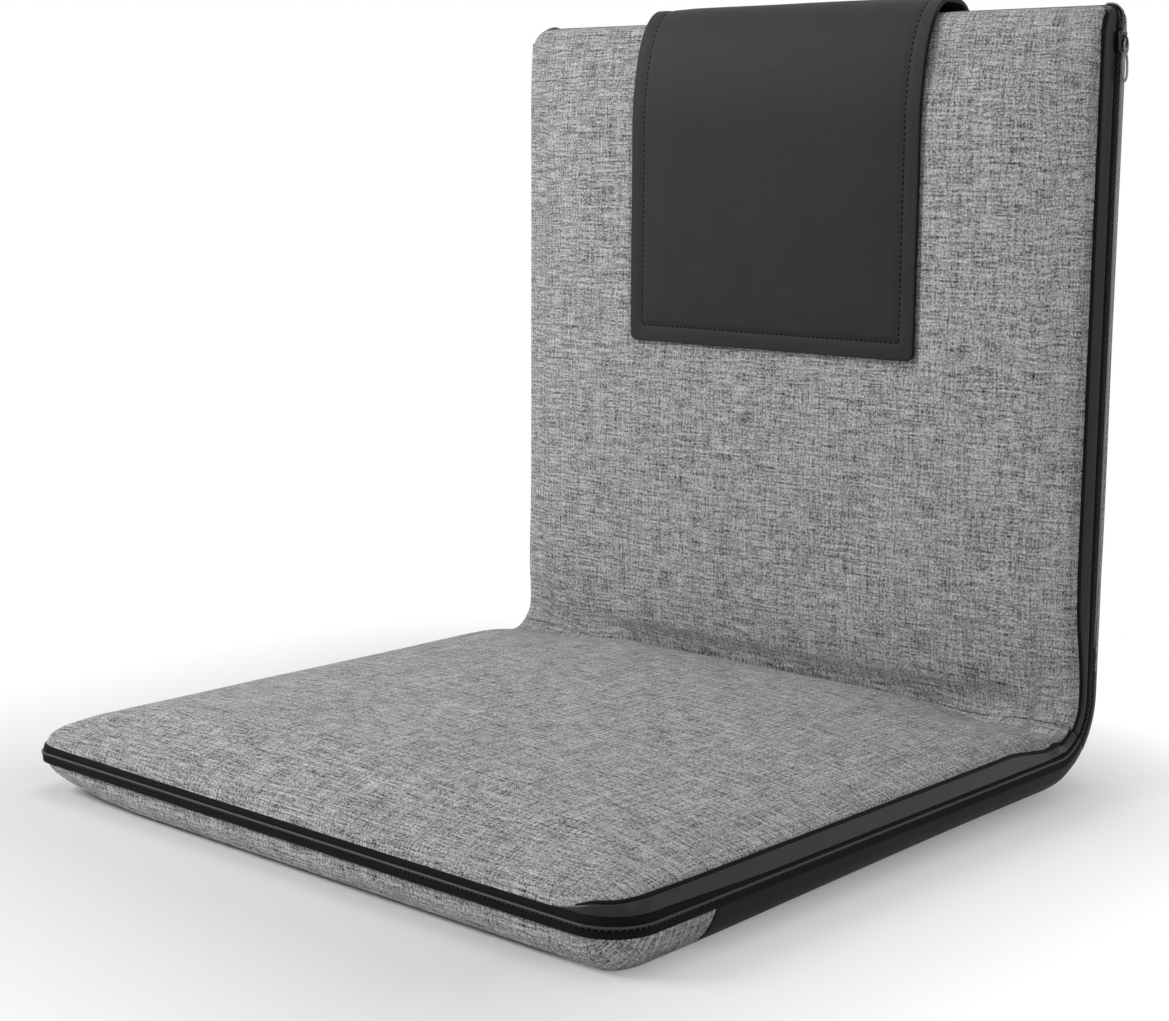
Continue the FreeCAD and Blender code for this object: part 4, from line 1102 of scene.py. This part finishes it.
def make_saddle():
    def shape(across, along):
        length = along * SADDLE_TOTAL
        hem = min(length, SADDLE_TOTAL - length)
        side = SADDLE_HALF - SADDLE_CORNER * (1 - swell(hem, SADDLE_CORNER))
        return saddle_point((across * 2 - 1) * side, length)

    bm = mapped_grid(*SADDLE_GRID, shape)
    bmesh.ops.recalc_face_normals(bm, faces=bm.faces)
    front = saddle_point(0, 60 * MM)
    middle = min(bm.faces, key=lambda face: (face.calc_center_median() - front).length)
    if middle.normal.z < 0:
        bmesh.ops.reverse_faces(bm, faces=bm.faces)
    piece = as_piece(bm, "leather_saddle", HANDLE_LEATHER, BACK)
    piece.data.materials.append(EDGE_PAINT)
    add_modifier(piece, "SOLIDIFY", thickness=SADDLE_WALL, offset=-1, material_offset_rim=1)
    add_modifier(piece, "BEVEL", width=0.5 * MM, segments=2, limit_method="ANGLE")
    settle(piece)
    return piece


def stitch_row(start, end, locate):
    """Places of a row of stitches; locate gives the place and outward way at a length."""
    places = []
    count = max(1, round(abs(end - start) / STITCH_PITCH))
    for number in range(count):
        first, up = locate(mix((number + 0.16) / count, start, end))
        last, _ = locate(mix((number + 0.84) / count, start, end))
        ahead = last - first
        size = ahead.length / 2
        ahead.normalize()
        across = up.cross(ahead).normalized()
        places.append(set_axes((first + last) / 2, ahead * size, across * 0.55 * MM, up * 0.45 * MM))
    return places


def make_saddle_stitches():
    inner = SADDLE_HALF - STITCH_INSET
    hems = (STITCH_INSET, SADDLE_TOTAL - STITCH_INSET)
    places = []

    def spot(x, length):
        here = saddle_point(x, length)
        return here, (saddle_point(x, length, 1 * MM) - here).normalized()

    for x in (inner, -inner):
        places += stitch_row(*hems, lambda length, at=x: spot(at, length))
    for hem in hems:
        places += stitch_row(-inner, inner, lambda x, at=hem: spot(x, at))
    return small_beads(places, "saddle_stitching", THREAD, BACK, rings=6, sides=8)


carry(make_saddle(), "back", "handle_leather", "carry_handle")
carry(make_saddle_stitches(), "back", "handle_leather")


# Rear pocket

POCKET_HALF = 140 * MM
POCKET_MOUTH = -192 * MM
POCKET_FOOT = -48 * MM
POCKET_ROOM = 4.6 * MM
POCKET_SEAM = 6 * MM
POCKET_CORNER = 14 * MM
POCKET_GRID = (150, 84)
HEM_STEPS = 120


def pocket_point(x, y):
    """A point of the pocket's outer face in the half frame."""
    edge = min(POCKET_HALF - abs(x), POCKET_FOOT - y)
    puff = POCKET_ROOM * ramp(edge, POCKET_SEAM - 1 * MM, POCKET_SEAM + 9 * MM)
    sag = 0.8 * MM * noise.noise(Vector((x * 14, y * 18, 4.0))) * ramp(edge, POCKET_SEAM, 24 * MM)
    groove = -0.3 * MM * bump(edge, POCKET_SEAM - 1 * MM, 1.2 * MM)
    return Vector((x, y, -SHELL_DEPTH - 1.9 * MM - puff - sag - groove))


def make_pocket():
    def shape(across, along):
        y = mix(along, POCKET_MOUTH, POCKET_FOOT)
        side = POCKET_HALF - POCKET_CORNER * (1 - swell(POCKET_FOOT - y, POCKET_CORNER))
        return pocket_point((across * 2 - 1) * side, y)

    bm = mapped_grid(*POCKET_GRID, shape)
    face_outward(bm)
    piece = as_piece(bm, "rear_pocket_cloth", FABRIC)
    finish_cloth(piece, BACK, COVER_WALL, SHELL_DEPTH)
    return piece


def make_pocket_hem():
    """The folded hem that binds the pocket's mouth."""

    def shape(around, along):
        x = mix(along, -POCKET_HALF, POCKET_HALF)
        face = pocket_point(x, POCKET_MOUTH)
        out, height = round_bar(around, -7 * MM, 0.6 * MM, -0.5 * MM, 1.8 * MM)
        return Vector((x, POCKET_MOUTH - height, face.z + 1.3 * MM - out))

    piece = as_piece(swept_tube(RIM_AROUND, HEM_STEPS, shape), "pocket_hem", FABRIC)
    mark_weave(piece, BACK, SHELL_DEPTH)
    piece.data.transform(TO_ROW["back"])
    return piece


def make_pocket_stitches():
    down = Vector((0, 0, -1))
    inset = 3 * MM
    places = []

    def spot(x, y):
        return pocket_point(x, y) + Vector((0, 0, -0.1 * MM)), down

    def hem_spot(x):
        return pocket_point(x, POCKET_MOUTH) + Vector((0, 5.2 * MM, -0.55 * MM)), down

    side = POCKET_HALF - inset
    straight = POCKET_HALF - POCKET_CORNER
    for x in (side, -side):
        places += stitch_row(POCKET_MOUTH, POCKET_FOOT - POCKET_CORNER, lambda y, at=x: spot(at, y))
    places += stitch_row(-straight, straight, lambda x: spot(x, POCKET_FOOT - inset))
    places += stitch_row(-side, side, hem_spot)
    return small_beads(places, "pocket_stitching", THREAD, BACK, rings=6, sides=8)


pocket = carry(make_pocket(), "back", "grey_fabric", "pocket_panel")
hem = carry(make_pocket_hem(), "back", "grey_fabric")
pocket_thread = carry(make_pocket_stitches(), "back", "grey_fabric")


# Zip slider and pull

SLIDER_PLACE = -BACK_LENGTH + 19 * MM
SLIDER_FACE = HALF_WIDTH + 3.6 * MM
PULL_LINE = HALF_WIDTH + 4.85 * MM
WIRE_AROUND = 12


def slider_body():
    """A slab over the teeth that narrows towards its lower end."""
    bm = bmesh.new()
    bmesh.ops.create_cube(bm, size=1)
    for vert in bm.verts:
        x, y, z = vert.co
        width = 7.6 * MM - 2.4 * MM * max(y, 0.0)
        vert.co = Vector((-SLIDER_FACE + 1.1 * MM + x * 2.2 * MM, SLIDER_PLACE + y * 11 * MM, z * width))
    bmesh.ops.bevel(bm, geom=bm.edges[:], offset=0.8 * MM, segments=4, profile=0.5, affect="EDGES")
    return as_piece(bm, "slider_body", SLIDER_METAL, BACK)


def metal_loop(name, half_length, half_width, middle, wide, thick, taper=0.0):
    """An oval ring of round wire in the plane of the pull tab."""

    def shape(around, share):
        turn = share * TURN
        about = around * TURN
        long = -cos(turn)
        reach = half_width * (1 + taper * long)
        out = wide * cos(about)
        y = middle + (half_length + out) * long
        z = (reach + out) * copysign(abs(sin(turn)) ** 0.8, sin(turn))
        return Vector((-PULL_LINE + thick * sin(about), SLIDER_PLACE + y, z))

    return as_piece(swept_tube(WIRE_AROUND, 72, shape), name, ZIP_METAL, BACK)


def slider_bridge():
    """The low arch on the slider on which the pull hangs."""

    def shape(around, share):
        turn = share * pi
        about = around * TURN
        reach = 0.55 * MM * cos(about)
        y = SLIDER_PLACE - (3.4 * MM + reach) * cos(turn)
        x = -SLIDER_FACE + 0.6 * MM - (2.5 * MM + reach) * sin(turn)
        return Vector((x, y, 0.75 * MM * sin(about)))

    return as_piece(swept_tube(WIRE_AROUND, 24, shape), "slider_bridge", SLIDER_METAL, BACK)


carry(slider_body(), "slider", "zip_metal", "zip_slider")
carry(slider_bridge(), "slider", "zip_metal")
eye = metal_loop("pull_eye", 3.6 * MM, 1.9 * MM, 2.4 * MM, 0.6 * MM, 0.55 * MM)
carry(eye, "pull", "zip_metal", "zip_pull")
ring = metal_loop("pull_ring", 7.0 * MM, 2.2 * MM, 13.2 * MM, 0.85 * MM, 0.6 * MM, 0.18)
carry(ring, "pull", "zip_metal")


# Parts that keep their CAD shape

CAD_FINISHES = [
    (STEEL, ("frame_tube", "cross_tube", "hinge", "rivets", "washers", "pins")),
    (PLASTIC, ("plugs",)),
    (BOARD, ("support_panel",)),
    (TEETH, ("zip_end_stops",)),
]
for name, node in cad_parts.items():
    for finish, words in CAD_FINISHES:
        if any(word in name for word in words) and not node.hide_render:
            node.data.materials.clear()
            node.data.materials.append(finish)
            node.data.shade_smooth()
            add_modifier(node, "EDGE_SPLIT", split_angle=radians(35))


# Camera, light and floor

PHOTO = (1169, 1021)
EYE = Vector((0.778, -0.828, 0.340))
EYE_TURN = radians(39.58)
EYE_DROP = radians(9.65)
EYE_ROLL = radians(0.8)
FOCUS_PIXELS = 2107.6
PICTURE_MIDDLE = (700, 530)
SENSOR_WIDTH = 36

lens = bpy.data.cameras.new("camera")
set_all(lens, sensor_fit="HORIZONTAL", sensor_width=SENSOR_WIDTH, clip_start=0.05)
lens.lens = FOCUS_PIXELS / PHOTO[0] * SENSOR_WIDTH
lens.shift_x = (PHOTO[0] / 2 - PICTURE_MIDDLE[0]) / PHOTO[0]
lens.shift_y = (PICTURE_MIDDLE[1] - PHOTO[1] / 2) / PHOTO[0]
camera = add_object("camera", lens)
turned = Matrix.Rotation(EYE_TURN, 4, "Z") @ Matrix.Rotation(QUARTER - EYE_DROP, 4, "X")
camera.matrix_world = Matrix.Translation(EYE) @ turned @ Matrix.Rotation(EYE_ROLL, 4, "Z")
scene.camera = camera


def soft_lamp(name, place, target, size, power):
    """A large soft box that looks at a point."""
    light = bpy.data.lights.new(name, "AREA")
    set_all(light, shape="RECTANGLE", size=size[0], size_y=size[1], energy=power)
    lamp = add_object(name, light)
    lamp.location = place
    lamp.rotation_euler = (Vector(target) - Vector(place)).to_track_quat("-Z", "Y").to_euler()


soft_lamp("key_softbox", (-1.2, -1.0, 1.2), (0, 0.05, 0.25), (0.8, 0.8), 22)
soft_lamp("side_softbox", (2.2, -0.3, 1.1), (0.1, 0.1, 0.15), (0.9, 1.6), 4)
soft_lamp("top_softbox", (-0.2, 0.4, 2.2), (0, 0, 0.1), (1.4, 1.4), 9)


# The world is a dim light for the chair and plain white for the camera.
SKY_LEVEL = 0.26

scene.world = bpy.data.worlds.new("studio")
sky = NodeTree(scene.world)
dim = sky.nodes["Background"]
sky.feed(dim, {"Color": grey(SKY_LEVEL)})
white = sky.node("ShaderNodeBackground", None, {"Color": grey(1.0)})
sky.show("World Output", sky.seen_straight(), dim.outputs[0], white.outputs[0])

# The floor turns white at a distance from a square about a middle near the chair.
FLOOR_RADIUS = 14
FLOOR_TONE = 0.86
FLOOR_FADE = 0.12
FLOOR_SOFT = 0.18
FLOOR_HALF = 0.17
FLOOR_SHIFT = 0.04


def studio_floor():
    """A wide pale floor, plain white away from the chair."""
    bm = bmesh.new()
    bmesh.ops.create_circle(bm, cap_ends=True, segments=96, radius=FLOOR_RADIUS)
    plain = Finish("pale_floor", roughness=0.9)
    plain.feed(plain.shader, {"Base Color": grey(FLOOR_TONE)})

    def outside(place):
        off = place.math("ABSOLUTE", place + FLOOR_SHIFT) - FLOOR_HALF
        return off.math("MAXIMUM", off, 0)

    x, y, _ = plain.axes(plain.place())
    aside = outside(x)
    ahead = outside(y)
    distance = aside.math("SQRT", aside * aside + ahead * ahead)
    far = distance.above(FLOOR_FADE, FLOOR_SOFT) * plain.seen_straight()
    glow = plain.node("ShaderNodeEmission", None, {"Color": grey(1.0), "Strength": 1.0})
    plain.show("Material Output", far, plain.shader.outputs[0], glow.outputs[0])
    floor = as_piece(bm, "studio_floor", plain.material)


studio_floor()

scene.view_settings.view_transform = "Standard"
bpy.context.view_layer.update()
